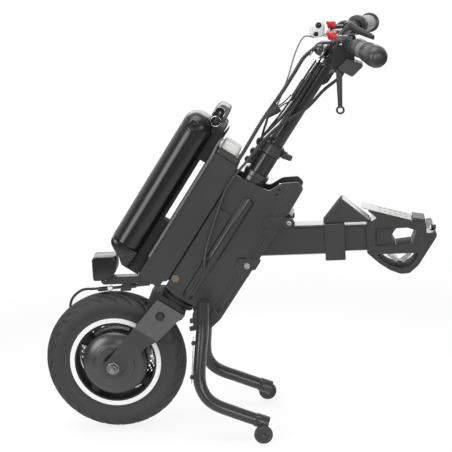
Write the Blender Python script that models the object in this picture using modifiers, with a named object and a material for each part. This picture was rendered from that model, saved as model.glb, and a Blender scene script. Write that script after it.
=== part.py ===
"""Electric handbike that docks to a wheelchair.

A front wheel with a hub motor sits in a leaning fork. The frame behind it carries the battery, the
kickstand and the docking arm, and a telescopic column carries the handlebar. X runs rearward, Y to
the rider's right and Z up. Two empties give the two sets of axes that the real parts are made in:
ground (upright, X from the wheel axle) and steer (leaning with the steering axis, origin on the
axle, X square to the steering axis and Z along it).
"""

import math

import bmesh
import bpy
from mathutils import Matrix, Vector

NAME = "handbike"
GAP = 0.0003
WHEEL_STEPS = 40
BORE_GAP = 0.0005
SIDES = (("left", -1), ("right", 1))

# Overall layout
TILT = math.radians(34.2)
REAR_REACH = 0.723
STEER_V = 0.045

# Heights and reaches below are drawn for this tyre and this reach, and the frame moves with both
DRAWN_FOR = (0.159, 0.723)

# Wheel
TYRE_R = 0.159
TYRE_SECTION_R = 0.0285
RIM_R = 0.103
RIM_BED_R = 0.0912
RIM_BARREL_R = 0.088
RIM_HALF = 0.026
FLANGE = 0.0015
MOTOR_R = 0.074
MOTOR_HALF = 0.027
COVER_NEAR = 0.0505
COVER_FAR = 0.034
ROTOR_R = 0.090
ROTOR_THICK = 0.0018
ROTOR_Y = 0.0376
AXLE_R = 0.007
TREAD_PITCHES = 16
SPOKE_ARMS = 4

# Fork
BLADE_IN = 0.062
BLADE_THICK = 0.006
BLADE_CREASE = 0.106
BLADE_TOP = 0.183
BLADE_TOP_IN = 0.042
CROWN_TOP = 0.1985
CROWN_HALF = 0.045
BEARING_R = 0.040

# Frame
PLATE_IN = 0.0275
PLATE_THICK = 0.005
PLATE_OUT = PLATE_IN + PLATE_THICK
PLATE_FRONT = 0.004
PLATE_BOTTOM = 0.209
RIDGE_HEIGHT = 0.006
COVER_THICK = 0.0022
BRACKET_OUT = 0.038
BEAM_HALF = 0.033
BEAM_FRONT = -0.060
BEAM_REAR = 0.001
BEAM_FOOT = 0.204
BEAM_TOP = 0.531
CAP_TOP = 0.545
TOP_BLOCK_TOP = 0.5665
RAIL_FRONT = -0.0632
SLIDE_REAR = -0.0765
WINDOW_FOOT = 0.340
WINDOW_TOP = 0.497
RAIL_HALF = 0.014

# Battery and its lock
BATTERY_FRONT = -0.151
BATTERY_REAR = -0.086
BATTERY_HALF = 0.046
BATTERY_CORNER = 0.0315
BATTERY_SEAM = 0.252
BATTERY_TOP = 0.587
DOME_START = 0.556
BATTERY_TIP_U = 0.2063
LOCK_TOP = 0.629
LOCK_HALF = 0.025
LOCK_RING_R = 0.012
LOCK_RECESS = 0.012

# Steering column and handlebar
STEERER_R = 0.0225
COLUMN_R = 0.017
COLUMN_WALL = 0.0018
SOCKET_TOP = 0.586
COLLAR_TOP = SOCKET_TOP + 0.026
COLUMN_FOOT = 0.460
COLUMN_TOP = 0.8437
HEAD_TUBE_R = 0.0272
HEAD_TUBE_TOP = 0.529
CUP_TOP = 0.540
BAR_R = 0.011
BAR_CENTRE = Vector((0.520, 0.0, 0.843))
BAR_GRIP_IN = Vector((0.562, 0.175, 0.866))
BAR_END = Vector((0.600, 0.285, 0.858))
GRIP_R = 0.0205
GRIP_END_R = 0.0225
STRAP_HALF = 0.0062

# Kickstand
STAND_PIVOT = Vector((0.2088, 0.0, 0.2795))
STAND_TUBE_R = 0.014
STAND_SHAFT_R = 0.010
STAND_TOP_Y = 0.070
STAND_FOOT_Y = 0.112
FOOT_WHEEL_R = 0.0205
FOOT_WHEEL_THICK = 0.012
FOOT_AXLE_X = 0.331

# Docking arm and cradle
ARM_HALF = 0.023
ARM_LOW = 0.393
ARM_HIGH = 0.459
ARM_WALL = 0.004
ARM_END = 0.524
ARM_PIN = Vector((0.404, 0.0, 0.471))
LATCH_PIN = Vector((0.308, 0.0, 0.378))
PIN_R = 0.004
SLEEVE_HALF = 0.027
SLEEVE_FRONT = 0.480
INNER_HALF = 0.0184
CRADLE_HALF = 0.027
CRADLE_FRONT = 0.573
HOOK_PIVOT = Vector((0.682, 0.0, 0.4040))
JAW_PIVOT = Vector((0.6425, 0.0, 0.3655))
HOOK_HALF = 0.006
JAW_HALF = 0.012

# Headlight
LIGHT_HALF = 0.024
LIGHT_PIVOT = Vector((-0.013, 0.0, 0.3455))
LIGHT_BAR_HALF = 0.012

# A larger wheel lifts the frame clear of itself, and the reach is taken up by the arm
GROWTH = TYRE_R - DRAWN_FOR[0]
LIFT = GROWTH / math.cos(TILT)
STRETCH = REAR_REACH - DRAWN_FOR[1] - GROWTH * math.tan(TILT)
ARM_STRETCH = 0.6 * STRETCH

PARTS = bpy.data.collections.new(NAME)
CUTTERS = bpy.data.collections.new("cutters")


def clear_scene():
    for obj in list(bpy.data.objects):
        bpy.data.objects.remove(obj, do_unlink=True)
    bpy.context.scene.collection.children.link(PARTS)
    bpy.context.scene.collection.children.link(CUTTERS)
    CUTTERS.hide_render = True


def finish(name, colour, roughness, metallic=0.0):
    made = bpy.data.materials.new(name)
    made.use_nodes = True
    shader = made.node_tree.nodes["Principled BSDF"]
    shader.inputs["Base Color"].default_value = (*colour, 1.0)
    shader.inputs["Roughness"].default_value = roughness
    shader.inputs["Metallic"].default_value = metallic
    return made


BLACK_COAT = finish("black_powder_coat", (0.030, 0.031, 0.035), 0.55)
GLOSS_BLACK = finish("gloss_black", (0.012, 0.012, 0.014), 0.16)
BLACK_PLASTIC = finish("black_plastic", (0.022, 0.022, 0.024), 0.45)
RUBBER = finish("black_rubber", (0.035, 0.035, 0.037), 0.80)
WHITE_COAT = finish("white_coat", (0.85, 0.85, 0.85), 0.40)
PALE_GREY = finish("pale_grey_plastic", (0.62, 0.62, 0.62), 0.50)
STEEL = finish("bright_steel", (0.72, 0.72, 0.73), 0.28, 1.0)
CHROME = finish("chrome", (0.85, 0.85, 0.86), 0.10, 1.0)
RED = finish("red_anodised", (0.55, 0.02, 0.05), 0.35, 0.5)


def empty(name, place, turn=0.0):
    made = bpy.data.objects.new(name, None)
    made.location = place
    made.rotation_euler = (0.0, turn, 0.0)
    PARTS.objects.link(made)
    return made


def piece(name, data, look, frame, place=(0, 0, 0), rotation=None):
    """Links a mesh or curve as a named object in the axes of an empty."""
    made = bpy.data.objects.new(name, data)
    made.parent = frame
    made.location = place
    if rotation is not None:
        made.rotation_mode = "QUATERNION"
        made.rotation_quaternion = rotation
    data.materials.append(look)
    PARTS.objects.link(made)
    return made


def mesh_from(bm, name):
    bmesh.ops.recalc_face_normals(bm, faces=bm.faces)
    mesh = bpy.data.meshes.new(name)
    bm.to_mesh(mesh)
    bm.free()
    mesh.shade_smooth()
    mesh.set_sharp_from_angle(angle=math.radians(35))
    return mesh


def soften(obj, width, segments=1):
    if width <= 0:
        return
    bevel = obj.modifiers.new("rounded_edges", "BEVEL")
    bevel.width = width
    bevel.segments = segments
    bevel.limit_method = "ANGLE"
    bevel.angle_limit = math.radians(32)


def box(name, look, frame, low, high, bevel=0.0, segments=1):
    """A box between two opposite corners."""
    low = Vector(low)
    high = Vector(high)
    middle = (low + high) / 2
    size = high - low
    bm = bmesh.new()
    bmesh.ops.create_cube(bm, size=1.0, matrix=Matrix.Diagonal((*size, 1.0)))
    made = piece(name, mesh_from(bm, name), look, frame, middle)
    soften(made, bevel, segments)
    return made


def rod(name, look, frame, start, end, radius, sides=16, end_radius=None):
    """A round bar or cone between two points."""
    start = Vector(start)
    end = Vector(end)
    bm = bmesh.new()
    bmesh.ops.create_cone(
        bm,
        cap_ends=True,
        segments=sides,
        radius1=radius,
        radius2=radius if end_radius is None else end_radius,
        depth=(end - start).length,
    )
    return piece(
        name, mesh_from(bm, name), look, frame, (start + end) / 2, (end - start).to_track_quat("Z", "Y")
    )


def signed_area(points):
    following = points[1:] + points[:1]
    return sum(a[0] * b[1] - b[0] * a[1] for a, b in zip(points, following)) / 2


def turned(name, look, frame, profile, place=(0, 0, 0), along=(0, 0, 1), steps=32, closed=False):
    """A profile of (radius, height) points, turned round an axis through place."""
    if signed_area(list(profile)) > 0:
        profile = list(reversed(profile))
    bm = bmesh.new()
    made = [bm.verts.new((radius, 0.0, height)) for radius, height in profile]
    for first, second in zip(made, made[1:]):
        bm.edges.new((first, second))
    if closed:
        bm.edges.new((made[-1], made[0]))
    mesh = bpy.data.meshes.new(name)
    bm.to_mesh(mesh)
    bm.free()
    obj = piece(name, mesh, look, frame, place, Vector(along).to_track_quat("Z", "Y"))
    screw = obj.modifiers.new("turn", "SCREW")
    screw.axis = "Z"
    screw.steps = steps
    screw.render_steps = steps
    screw.use_merge_vertices = True
    screw.merge_threshold = 0.00001
    screw.use_smooth_shade = True
    return obj


def as_mesh(curve_object):
    """The curve as a welded mesh object of the same name, so that Booleans take it."""
    bpy.context.view_layer.update()
    graph = bpy.context.evaluated_depsgraph_get()
    mesh = bpy.data.meshes.new_from_object(curve_object.evaluated_get(graph))
    bm = bmesh.new()
    bm.from_mesh(mesh)
    bmesh.ops.remove_doubles(bm, verts=bm.verts, dist=0.000001)
    bmesh.ops.recalc_face_normals(bm, faces=bm.faces)
    bm.to_mesh(mesh)
    bm.free()
    name = curve_object.name
    curve_object.name = name + "_curve"
    made = bpy.data.objects.new(name, mesh)
    made.parent = curve_object.parent
    made.matrix_basis = curve_object.matrix_basis.copy()
    PARTS.objects.link(made)
    bpy.data.objects.remove(curve_object, do_unlink=True)
    return made


def rounded(outline, radius, segments=3):
    """The outline with its corners turned into arcs. A point may bring its own radius as a third value."""
    points = []
    count = len(outline)
    for index, corner in enumerate(outline):
        here = Vector(corner[:2])
        before = Vector(outline[index - 1][:2]) - here
        after = Vector(outline[(index + 1) % count][:2]) - here
        wanted = corner[2] if len(corner) > 2 else radius
        half = before.angle(after) / 2
        reach = min(wanted / math.tan(half), 0.48 * before.length, 0.48 * after.length)
        if reach < 1e-5 or math.degrees(half) > 86:
            points.append(here)
            continue
        arc_radius = reach * math.tan(half)
        inward = (before.normalized() + after.normalized()).normalized()
        centre = here + inward * (arc_radius / math.sin(half))
        start = here + before.normalized() * reach - centre
        finish_at = here + after.normalized() * reach - centre
        sweep = start.angle_signed(finish_at)
        for step in range(segments + 1):
            turn = Matrix.Rotation(-sweep * step / segments, 2)
            points.append(centre + turn @ start)
    return points


def plate(name, look, frame, outline, low_y, high_y, bevel=0.0, corner=0.0, segments=3):
    """A flat outline of (x, z) points, extruded between two values of Y."""
    curve = bpy.data.curves.new(name, "CURVE")
    curve.dimensions = "2D"
    curve.fill_mode = "BOTH"
    curve.extrude = abs(high_y - low_y) / 2
    points = rounded(outline, corner, segments)
    spline = curve.splines.new("POLY")
    spline.points.add(len(points) - 1)
    for target, (x, z) in zip(spline.points, points):
        target.co = (x, z, 0.0, 1.0)
    spline.use_cyclic_u = True
    flat = Matrix.Rotation(math.radians(90), 3, "X").to_quaternion()
    made = as_mesh(piece(name, curve, look, frame, (0.0, (low_y + high_y) / 2, 0.0), flat))
    soften(made, bevel)
    return made


def smooth(points, per_span=4):
    """Points along a Catmull-Rom curve through all but the first and last, which only steer its ends."""
    points = [Vector(point) for point in points]
    route = []
    for index in range(1, len(points) - 2):
        before, start, end, after = points[index - 1 : index + 3]
        for step in range(per_span):
            t = step / per_span
            route.append(
                0.5
                * (
                    2 * start
                    + (end - before) * t
                    + (2 * before - 5 * start + 4 * end - after) * t * t
                    + (3 * start - before - 3 * end + after) * t * t * t
                )
            )
    route.append(points[-2])
    return route


def route(points, per_span=4):
    """A smooth route through all the points."""
    points = [Vector(point) for point in points]
    first = 2 * points[0] - points[1]
    last = 2 * points[-1] - points[-2]
    return smooth([first, *points, last], per_span)


def tube(name, look, frame, points, radius, resolution=2, radii=None):
    """A round tube along a list of points."""
    curve = bpy.data.curves.new(name, "CURVE")
    curve.dimensions = "3D"
    curve.bevel_depth = radius
    curve.bevel_resolution = resolution
    curve.use_fill_caps = True
    spline = curve.splines.new("POLY")
    spline.points.add(len(points) - 1)
    for index, (target, point) in enumerate(zip(spline.points, points)):
        target.co = (*point, 1.0)
        target.radius = 1.0 if radii is None else radii[index]
    spline.use_smooth = True
    return piece(name, curve, look, frame)


def ribbed(name, look, frame, points, radius, pitch, depth):
    """A tube whose radius rises and falls once every pitch, with a plain stretch at each end."""
    points = [Vector(point) for point in points]
    lengths = [0.0]
    for first, second in zip(points, points[1:]):
        lengths.append(lengths[-1] + (second - first).length)
    count = 2 * max(2, round(lengths[-1] / pitch))
    stations = []
    radii = []
    span = 0
    for step in range(count + 1):
        wanted = lengths[-1] * step / count
        while span < len(points) - 2 and lengths[span + 1] < wanted:
            span += 1
        share = (wanted - lengths[span]) / (lengths[span + 1] - lengths[span])
        stations.append(points[span].lerp(points[span + 1], min(1.0, share)))
        plain = step < 3 or step > count - 3
        radii.append(1.0 - depth / radius if plain or step % 2 else 1.0)
    return tube(name, look, frame, stations, radius, 2, radii)


def loft(name, look, frame, sections):
    """A closed skin through rings of points, all with the same count."""
    bm = bmesh.new()
    rings = [[bm.verts.new(point) for point in section] for section in sections]
    for lower, upper in zip(rings, rings[1:]):
        for index in range(len(lower)):
            following = (index + 1) % len(lower)
            bm.faces.new((lower[index], lower[following], upper[following], upper[index]))
    bm.faces.new(list(reversed(rings[0])))
    bm.faces.new(rings[-1])
    return piece(name, mesh_from(bm, name), look, frame)


def set_aside(obj):
    PARTS.objects.unlink(obj)
    CUTTERS.objects.link(obj)
    obj.hide_render = True
    obj.display_type = "WIRE"


def combine(target, tool, operation):
    set_aside(tool)
    modifier = target.modifiers.new(tool.name, "BOOLEAN")
    modifier.operation = operation
    modifier.solver = "EXACT"
    modifier.object = tool


def cut(target, *tools):
    for tool in tools:
        combine(target, tool, "DIFFERENCE")


def join(target, *tools):
    for tool in tools:
        combine(target, tool, "UNION")


def arc(centre, radius, start, end, steps):
    """Points on a circle between two angles in degrees."""
    points = []
    for step in range(steps + 1):
        angle = math.radians(start + (end - start) * step / steps)
        points.append((centre[0] + radius * math.cos(angle), centre[1] + radius * math.sin(angle)))
    return points


def mirrored_y(points, side):
    return [Vector((x, y * side, z)) for x, y, z in points]


def build_tyre(ground):
    section_centre = TYRE_R - TYRE_SECTION_R
    half = RIM_HALF - FLANGE - GAP
    side_wall = []
    for step in range(6):
        angle = math.radians(-38 + 128 * step / 5)
        side_wall.append(
            (section_centre + TYRE_SECTION_R * math.sin(angle), TYRE_SECTION_R * math.cos(angle))
        )
    upper = [(RIM_BED_R + GAP, half), (RIM_R + 0.0015, half), *side_wall]
    lower = [(radius, -height) for radius, height in reversed(upper[:-1])]
    hub = Vector((0.0, 0.0, TYRE_R))
    tyre = turned("tyre", RUBBER, ground, upper + lower, hub, (0, 1, 0), WHEEL_STEPS, closed=True)
    bm = bmesh.new()
    shoulder = math.radians(50)
    surface = (
        section_centre + TYRE_SECTION_R * math.sin(shoulder),
        TYRE_SECTION_R * math.cos(shoulder),
    )
    groove = (0.0040, 0.0032, 0.024)
    for side in (-1, 1):
        for index in range(TREAD_PITCHES):
            around = 2 * math.pi * (index + 0.25 * side) / TREAD_PITCHES
            place = (
                Matrix.Rotation(around, 4, "Z")
                @ Matrix.Translation((surface[0], 0.0, side * surface[1]))
                @ Matrix.Rotation(-side * (math.pi / 2 - shoulder), 4, "Y")
                @ Matrix.Rotation(side * math.radians(40), 4, "X")
                @ Matrix.Diagonal((*groove, 1.0))
            )
            bmesh.ops.create_cube(bm, size=1.0, matrix=place)
    grooves = piece("tread_grooves", mesh_from(bm, "tread_grooves"), RUBBER, ground, hub)
    grooves.rotation_mode = "QUATERNION"
    grooves.rotation_quaternion = Vector((0, 1, 0)).to_track_quat("Z", "Y")
    cut(tyre, grooves)


def build_wheel(ground):
    hub = Vector((0.0, 0.0, TYRE_R))
    build_tyre(ground)

    half = RIM_HALF
    rim = turned(
        "rim",
        WHITE_COAT,
        ground,
        [
            (RIM_BARREL_R, half),
            (RIM_R, half),
            (RIM_R, half - FLANGE),
            (RIM_BED_R, half - FLANGE),
            (RIM_BED_R, FLANGE - half),
            (RIM_R, FLANGE - half),
            (RIM_R, -half),
            (RIM_BARREL_R, -half),
        ],
        hub,
        (0, 1, 0),
        WHEEL_STEPS,
        closed=True,
    )
    for index in range(SPOKE_ARMS):
        angle = math.radians(52 + 360 * index / SPOKE_ARMS)
        outward = Vector((math.cos(angle), 0.0, math.sin(angle)))
        arm = rod(
            f"rim_arm_{index}",
            WHITE_COAT,
            ground,
            hub + outward * (MOTOR_R - 0.004),
            hub + outward * (RIM_BARREL_R + GAP),
            0.017,
            8,
            0.022,
        )
        join(rim, arm)
    motor_space = rod(
        "motor_space",
        WHITE_COAT,
        ground,
        hub - Vector((0, 0.06, 0)),
        hub + Vector((0, 0.06, 0)),
        MOTOR_R + 0.001,
        32,
    )
    cut(rim, motor_space)

    bore = AXLE_R + BORE_GAP
    turned(
        "hub_motor",
        BLACK_COAT,
        ground,
        [
            (bore, COVER_FAR),
            (0.050, COVER_FAR - 0.0015),
            (0.060, 0.0292),
            (MOTOR_R - 0.002, 0.0285),
            (MOTOR_R, MOTOR_HALF - 0.0005),
            (MOTOR_R, -MOTOR_HALF),
            (MOTOR_R - 0.002, -MOTOR_HALF - 0.0065),
            (MOTOR_R - 0.008, -MOTOR_HALF - 0.0115),
            (MOTOR_R - 0.018, -COVER_NEAR + 0.008),
            (0.047, -COVER_NEAR + 0.006),
            (0.0455, -COVER_NEAR + 0.0015),
            (0.042, -COVER_NEAR),
            (bore, -COVER_NEAR),
        ],
        hub,
        (0, 1, 0),
        30,
        closed=True,
    )

    rotor = turned(
        "brake_rotor",
        STEEL,
        ground,
        [
            (0.0175, COVER_FAR + GAP),
            (0.030, COVER_FAR + GAP),
            (0.030, ROTOR_Y),
            (ROTOR_R, ROTOR_Y),
            (ROTOR_R, ROTOR_Y + ROTOR_THICK),
            (0.0175, ROTOR_Y + ROTOR_THICK),
        ],
        hub,
        (0, 1, 0),
        30,
        closed=True,
    )
    through = Vector((0, 0.004, 0))
    middle = hub + Vector((0, ROTOR_Y + ROTOR_THICK / 2, 0))
    windows = [(6, 0.052, 0.014, 6, 0), (12, 0.0835, 0.0036, 4, 5)]
    for count, distance, radius, sides, shift in windows:
        bm = bmesh.new()
        for index in range(count):
            angle = 2 * math.pi * index / count + math.radians(shift)
            place = (
                Matrix.Translation((math.cos(angle) * distance, 0, math.sin(angle) * distance))
                @ Matrix.Rotation(math.radians(90), 4, "X")
            )
            bmesh.ops.create_cone(
                bm,
                cap_ends=True,
                segments=sides,
                radius1=radius,
                radius2=radius,
                depth=2 * through.length,
                matrix=place,
            )
        name = f"rotor_holes_{count}"
        cut(rotor, piece(name, mesh_from(bm, name), STEEL, ground, middle))


def build_axle(steer):
    blade_out = BLADE_IN + BLADE_THICK
    washer = blade_out + GAP
    far = [
        (0.0, blade_out + 0.017),
        (0.006, blade_out + 0.017),
        (0.006, blade_out + 0.011),
        (0.0105, blade_out + 0.011),
        (0.0115, washer + 0.002),
        (0.014, washer + 0.002),
        (0.014, washer),
        (AXLE_R, washer),
        (AXLE_R, BLADE_IN - GAP),
        (0.0095, BLADE_IN - GAP),
        (0.0095, COVER_FAR + 3 * GAP),
        (AXLE_R, COVER_FAR + 3 * GAP),
    ]
    near = [(radius, -height) for radius, height in reversed(far)]
    near[1] = (0.0095, -COVER_NEAR - GAP)
    near[0] = (AXLE_R, -COVER_NEAR - GAP)
    turned("axle", STEEL, steer, far + near, (0, 0, 0), (0, 1, 0), 12)


def blade_inner(u):
    """Half the distance between the blades' inner faces at a height along the fork."""
    lean = (BLADE_IN - BLADE_TOP_IN) / (BLADE_TOP - BLADE_CREASE)
    return BLADE_IN - max(0.0, u - BLADE_CREASE) * lean


def build_fork(steer):
    front_crease = (-0.008, BLADE_CREASE)
    rear_crease = (0.052, BLADE_CREASE)
    lower = [
        front_crease,
        *arc((0.0, -LIFT), 0.022, 152, 378, 8),
        (0.028, 0.039 - LIFT),
        (0.037, 0.082 - LIFT),
        rear_crease,
    ]
    upper = [
        front_crease,
        rear_crease,
        (0.0655, 0.155),
        (0.0665, 0.164),
        (0.073, 0.172),
        (0.074, BLADE_TOP),
        (0.003, BLADE_TOP),
    ]
    for label, side in SIDES:
        bm = bmesh.new()
        shared = {}
        for outline in (lower, upper):
            ring = []
            for v, u in outline:
                if (v, u) not in shared:
                    shared[(v, u)] = bm.verts.new((v, side * blade_inner(u), u))
                ring.append(shared[(v, u)])
            bm.faces.new(ring)
        bmesh.ops.recalc_face_normals(bm, faces=bm.faces)
        mesh = bpy.data.meshes.new(f"fork_blade_{label}")
        bm.normal_update()
        outward = sum(face.normal.y for face in bm.faces) * side
        if outward > 0:
            bmesh.ops.reverse_faces(bm, faces=bm.faces)
        bm.to_mesh(mesh)
        bm.free()
        blade = piece(f"fork_blade_{label}", mesh, BLACK_COAT, steer)
        solid = blade.modifiers.new("sheet", "SOLIDIFY")
        solid.thickness = BLADE_THICK
        solid.offset = -1.0
        solid.use_even_offset = True
        soften(blade, 0.0007)
        hole = rod(
            f"blade_hole_{label}",
            STEEL,
            steer,
            (0, side * (BLADE_IN - 0.01), -LIFT),
            (0, side * (BLADE_IN + 0.02), -LIFT),
            AXLE_R + BORE_GAP,
            12,
        )
        cut(blade, hole)
        bolt_u = 0.156
        bolt_in = blade_inner(bolt_u) + 0.0026
        bolt = turned(
            f"fork_bolt_{label}",
            STEEL,
            steer,
            [
                (0, 0),
                (0.0098, 0),
                (0.0098, 0.006),
                (0.0085, 0.0075),
                (0.005, 0.0075),
                (0.005, 0.005),
                (0, 0.005),
            ],
            (0.028, side * bolt_in, bolt_u),
            (0, side, 0),
            12,
        )
        join(blade, bolt)

    crown = plate(
        "fork_crown",
        BLACK_COAT,
        steer,
        [
            (-0.012, 0.168),
            (-0.012, 0.184),
            (0.011, 0.196),
            (0.046, CROWN_TOP),
            (0.071, 0.190),
            (0.075, 0.181),
            (0.070, 0.168),
            (0.061, 0.146),
            (-0.002, 0.146),
        ],
        -CROWN_HALF,
        CROWN_HALF,
        0.0,
        0.004,
        2,
    )
    channel = BLADE_TOP_IN - 0.009
    tyre_space = box(
        "tyre_space",
        BLACK_COAT,
        steer,
        (-0.05, -channel, 0.12),
        (0.12, channel, 0.166),
        0.006,
    )
    cut(crown, tyre_space)
    for label, side in SIDES:
        sections = []
        for u in (0.130, BLADE_TOP + 0.0018):
            near_y = side * (blade_inner(u) - GAP)
            far_y = side * 0.09
            sections.append([(-0.05, near_y, u), (0.12, near_y, u), (0.12, far_y, u), (-0.05, far_y, u)])
        cut(crown, loft(f"blade_space_{label}", BLACK_COAT, steer, sections))
    bearing = turned(
        "lower_bearing",
        BLACK_COAT,
        steer,
        [
            (0, 0.192),
            (BEARING_R, 0.192),
            (BEARING_R, 0.1955),
            (BEARING_R - 0.002, 0.1965),
            (BEARING_R, 0.1975),
            (BEARING_R, 0.204),
            (0.033, 0.204),
            (0.033, PLATE_BOTTOM - GAP),
            (STEERER_R + GAP, PLATE_BOTTOM - GAP),
            (STEERER_R + GAP, CROWN_TOP + GAP),
            (0, CROWN_TOP + GAP),
        ],
        (STEER_V, 0, 0),
        (0, 0, 1),
        24,
    )
    join(crown, bearing)


def build_caliper(steer):
    low_y = ROTOR_Y - 0.0066
    drop = min(0.0, LIFT)
    outline = [
        (0.002, 0.066),
        (0.030, 0.062),
        (0.034, 0.088),
        (0.024, 0.101),
        (0.004, 0.101),
        (-0.002, 0.088),
    ]
    body = plate(
        "brake_caliper",
        BLACK_COAT,
        steer,
        [(v, u + drop) for v, u in outline],
        low_y,
        BLADE_IN - GAP,
        0.0015,
        0.004,
        2,
    )
    slot = rod(
        "rotor_slot",
        BLACK_COAT,
        steer,
        (0, ROTOR_Y - 0.0012, 0),
        (0, ROTOR_Y + ROTOR_THICK + 0.0012, 0),
        ROTOR_R + 0.0015,
        48,
    )
    cut(body, slot)


def build_steerer(steer):
    axis = (STEER_V, 0, 0)
    steerer = turned(
        "steerer_tube",
        BLACK_COAT,
        steer,
        [
            (COLUMN_R + GAP, SOCKET_TOP),
            (STEERER_R, SOCKET_TOP),
            (STEERER_R, CROWN_TOP + 2 * GAP + 0.0004),
            (COLUMN_R + GAP, CROWN_TOP + 2 * GAP + 0.0004),
        ],
        axis,
        (0, 0, 1),
        24,
        closed=True,
    )
    clip_v = 0.0135
    strip = box(
        "clip_strip",
        BLACK_COAT,
        steer,
        (clip_v, -0.007, SOCKET_TOP - 0.040),
        (STEER_V - STEERER_R + 0.0008, 0.001, SOCKET_TOP + 0.022),
    )
    clips = [(SOCKET_TOP + 0.014, 0.010), (SOCKET_TOP - 0.011, 0.008), (SOCKET_TOP - 0.033, 0.008)]
    for index, (u, radius) in enumerate(clips):
        clip = turned(
            f"cable_clip_{index}",
            BLACK_COAT,
            steer,
            [
                (0, 0.012),
                (radius - 0.001, 0.012),
                (radius, 0.011),
                (radius, 0.001),
                (radius - 0.001, 0),
                (0, 0),
            ],
            (clip_v - 0.001, 0.0005, u),
            (0, -1, 0),
            12,
        )
        join(strip, clip)
    room = rod(
        "collar_room",
        BLACK_COAT,
        steer,
        (STEER_V, 0, SOCKET_TOP),
        (STEER_V, 0, SOCKET_TOP + 0.034),
        0.0252,
        24,
    )
    cut(strip, room)
    join(steerer, strip)

    collar = turned(
        "clamp_collar",
        BLACK_COAT,
        steer,
        [
            (COLUMN_R + GAP, COLLAR_TOP),
            (0.0215, COLLAR_TOP),
            (0.0245, COLLAR_TOP - 0.004),
            (0.0245, SOCKET_TOP + GAP + 0.001),
            (0.0235, SOCKET_TOP + GAP),
            (COLUMN_R + GAP, SOCKET_TOP + GAP),
        ],
        axis,
        (0, 0, 1),
        24,
        closed=True,
    )
    lug = plate(
        "collar_lug",
        BLACK_COAT,
        steer,
        [
            (STEER_V + 0.021, SOCKET_TOP + 0.006),
            (STEER_V + 0.035, SOCKET_TOP + 0.006),
            (STEER_V + 0.035, SOCKET_TOP + 0.022),
            (STEER_V + 0.021, SOCKET_TOP + 0.022),
        ],
        -0.004,
        0.004,
        0.0,
        0.003,
        2,
    )
    join(collar, lug)
    pivot = (STEER_V + 0.0305, SOCKET_TOP + 0.014)
    bore = rod(
        "lever_bore",
        STEEL,
        steer,
        (pivot[0], -0.01, pivot[1]),
        (pivot[0], 0.01, pivot[1]),
        0.0023,
        12,
    )
    cut(collar, bore)
    lever = plate(
        "quick_release_lever",
        BLACK_COAT,
        steer,
        [
            (pivot[0] - 0.005, pivot[1] - 0.003),
            (pivot[0] - 0.004, pivot[1] + 0.006),
            (pivot[0] + 0.0155, pivot[1] + 0.009),
            (pivot[0] + 0.0175, pivot[1] - 0.003),
            (pivot[0] + 0.003, pivot[1] - 0.006),
        ],
        -0.0095,
        -0.004 - GAP,
        0.001,
        0.003,
        2,
    )
    pin = rod(
        "lever_pin",
        STEEL,
        steer,
        (pivot[0], -0.008, pivot[1]),
        (pivot[0], 0.0055, pivot[1]),
        0.0018,
        12,
    )
    join(lever, pin)


def build_side_plates(steer):
    outline = [
        (PLATE_FRONT, 0.213),
        (PLATE_FRONT, 0.513),
        (0.052, 0.517, 0.02),
        (0.084, 0.520, 0.01),
        (0.089, 0.528, 0.02),
        (0.100, 0.550, 0.02),
        (0.127, 0.570, 0.006),
        (0.146, 0.566, 0.008),
        (0.148, 0.509, 0.02),
        (0.147, 0.214, 0.03),
        (0.138, 0.179, 0.012),
        (0.119, 0.189, 0.01),
        (0.091, 0.201, 0.004),
        (0.080, PLATE_BOTTOM, 0.003),
        (0.032, PLATE_BOTTOM, 0.003),
        (0.008, 0.213),
    ]
    rail = [
        (0.122, 0.205, 0.004),
        (0.1455, 0.215, 0.004),
        (0.1455, 0.556, 0.004),
        (0.122, 0.556, 0.004),
    ]
    ridge = [(0.047, 0.225), (0.047, 0.484), (0.067, 0.484), (0.067, 0.225)]
    for label, side in SIDES:
        side_plate = plate(
            f"side_plate_{label}",
            BLACK_COAT,
            steer,
            outline,
            side * PLATE_IN,
            side * PLATE_OUT,
            0.0,
            0.0,
            2,
        )
        raised = plate(
            f"rear_rail_{label}",
            BLACK_COAT,
            steer,
            rail,
            side * (PLATE_OUT - 0.001),
            side * (PLATE_OUT + 0.001),
            0,
            0,
            1,
        )
        join(side_plate, raised)
        swell = plate(
            f"ridge_{label}",
            BLACK_COAT,
            steer,
            ridge,
            side * (PLATE_OUT - 0.001),
            side * (PLATE_OUT + RIDGE_HEIGHT),
            0.004,
            0.0098,
            2,
        )
        join(side_plate, swell)
        for index, (v, u, radius) in enumerate([(0.104, 0.534, 0.0028), (0.104, 0.522, 0.0028)]):
            hole = rod(
                f"plate_hole_{label}_{index}",
                STEEL,
                steer,
                (v, side * (PLATE_IN - 0.002), u),
                (v, side * (PLATE_OUT + 0.002), u),
                radius,
                10,
            )
            cut(side_plate, hole)
        slot = plate(
            f"plate_slot_{label}",
            STEEL,
            steer,
            [(0.128, 0.224), (0.128, 0.238), (0.134, 0.238), (0.134, 0.224)],
            side * (PLATE_IN - 0.002),
            side * (PLATE_OUT + 0.004),
            0.0,
            0.003,
            2,
        )
        cut(side_plate, slot)
        plate(
            f"front_cover_{label}",
            BLACK_COAT,
            steer,
            [(0.006, 0.222), (0.006, 0.428), (0.044, 0.432), (0.045, 0.219)],
            side * (PLATE_OUT + GAP),
            side * (PLATE_OUT + GAP + COVER_THICK),
            0.0006,
            0.004,
            2,
        )
    return outline


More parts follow.
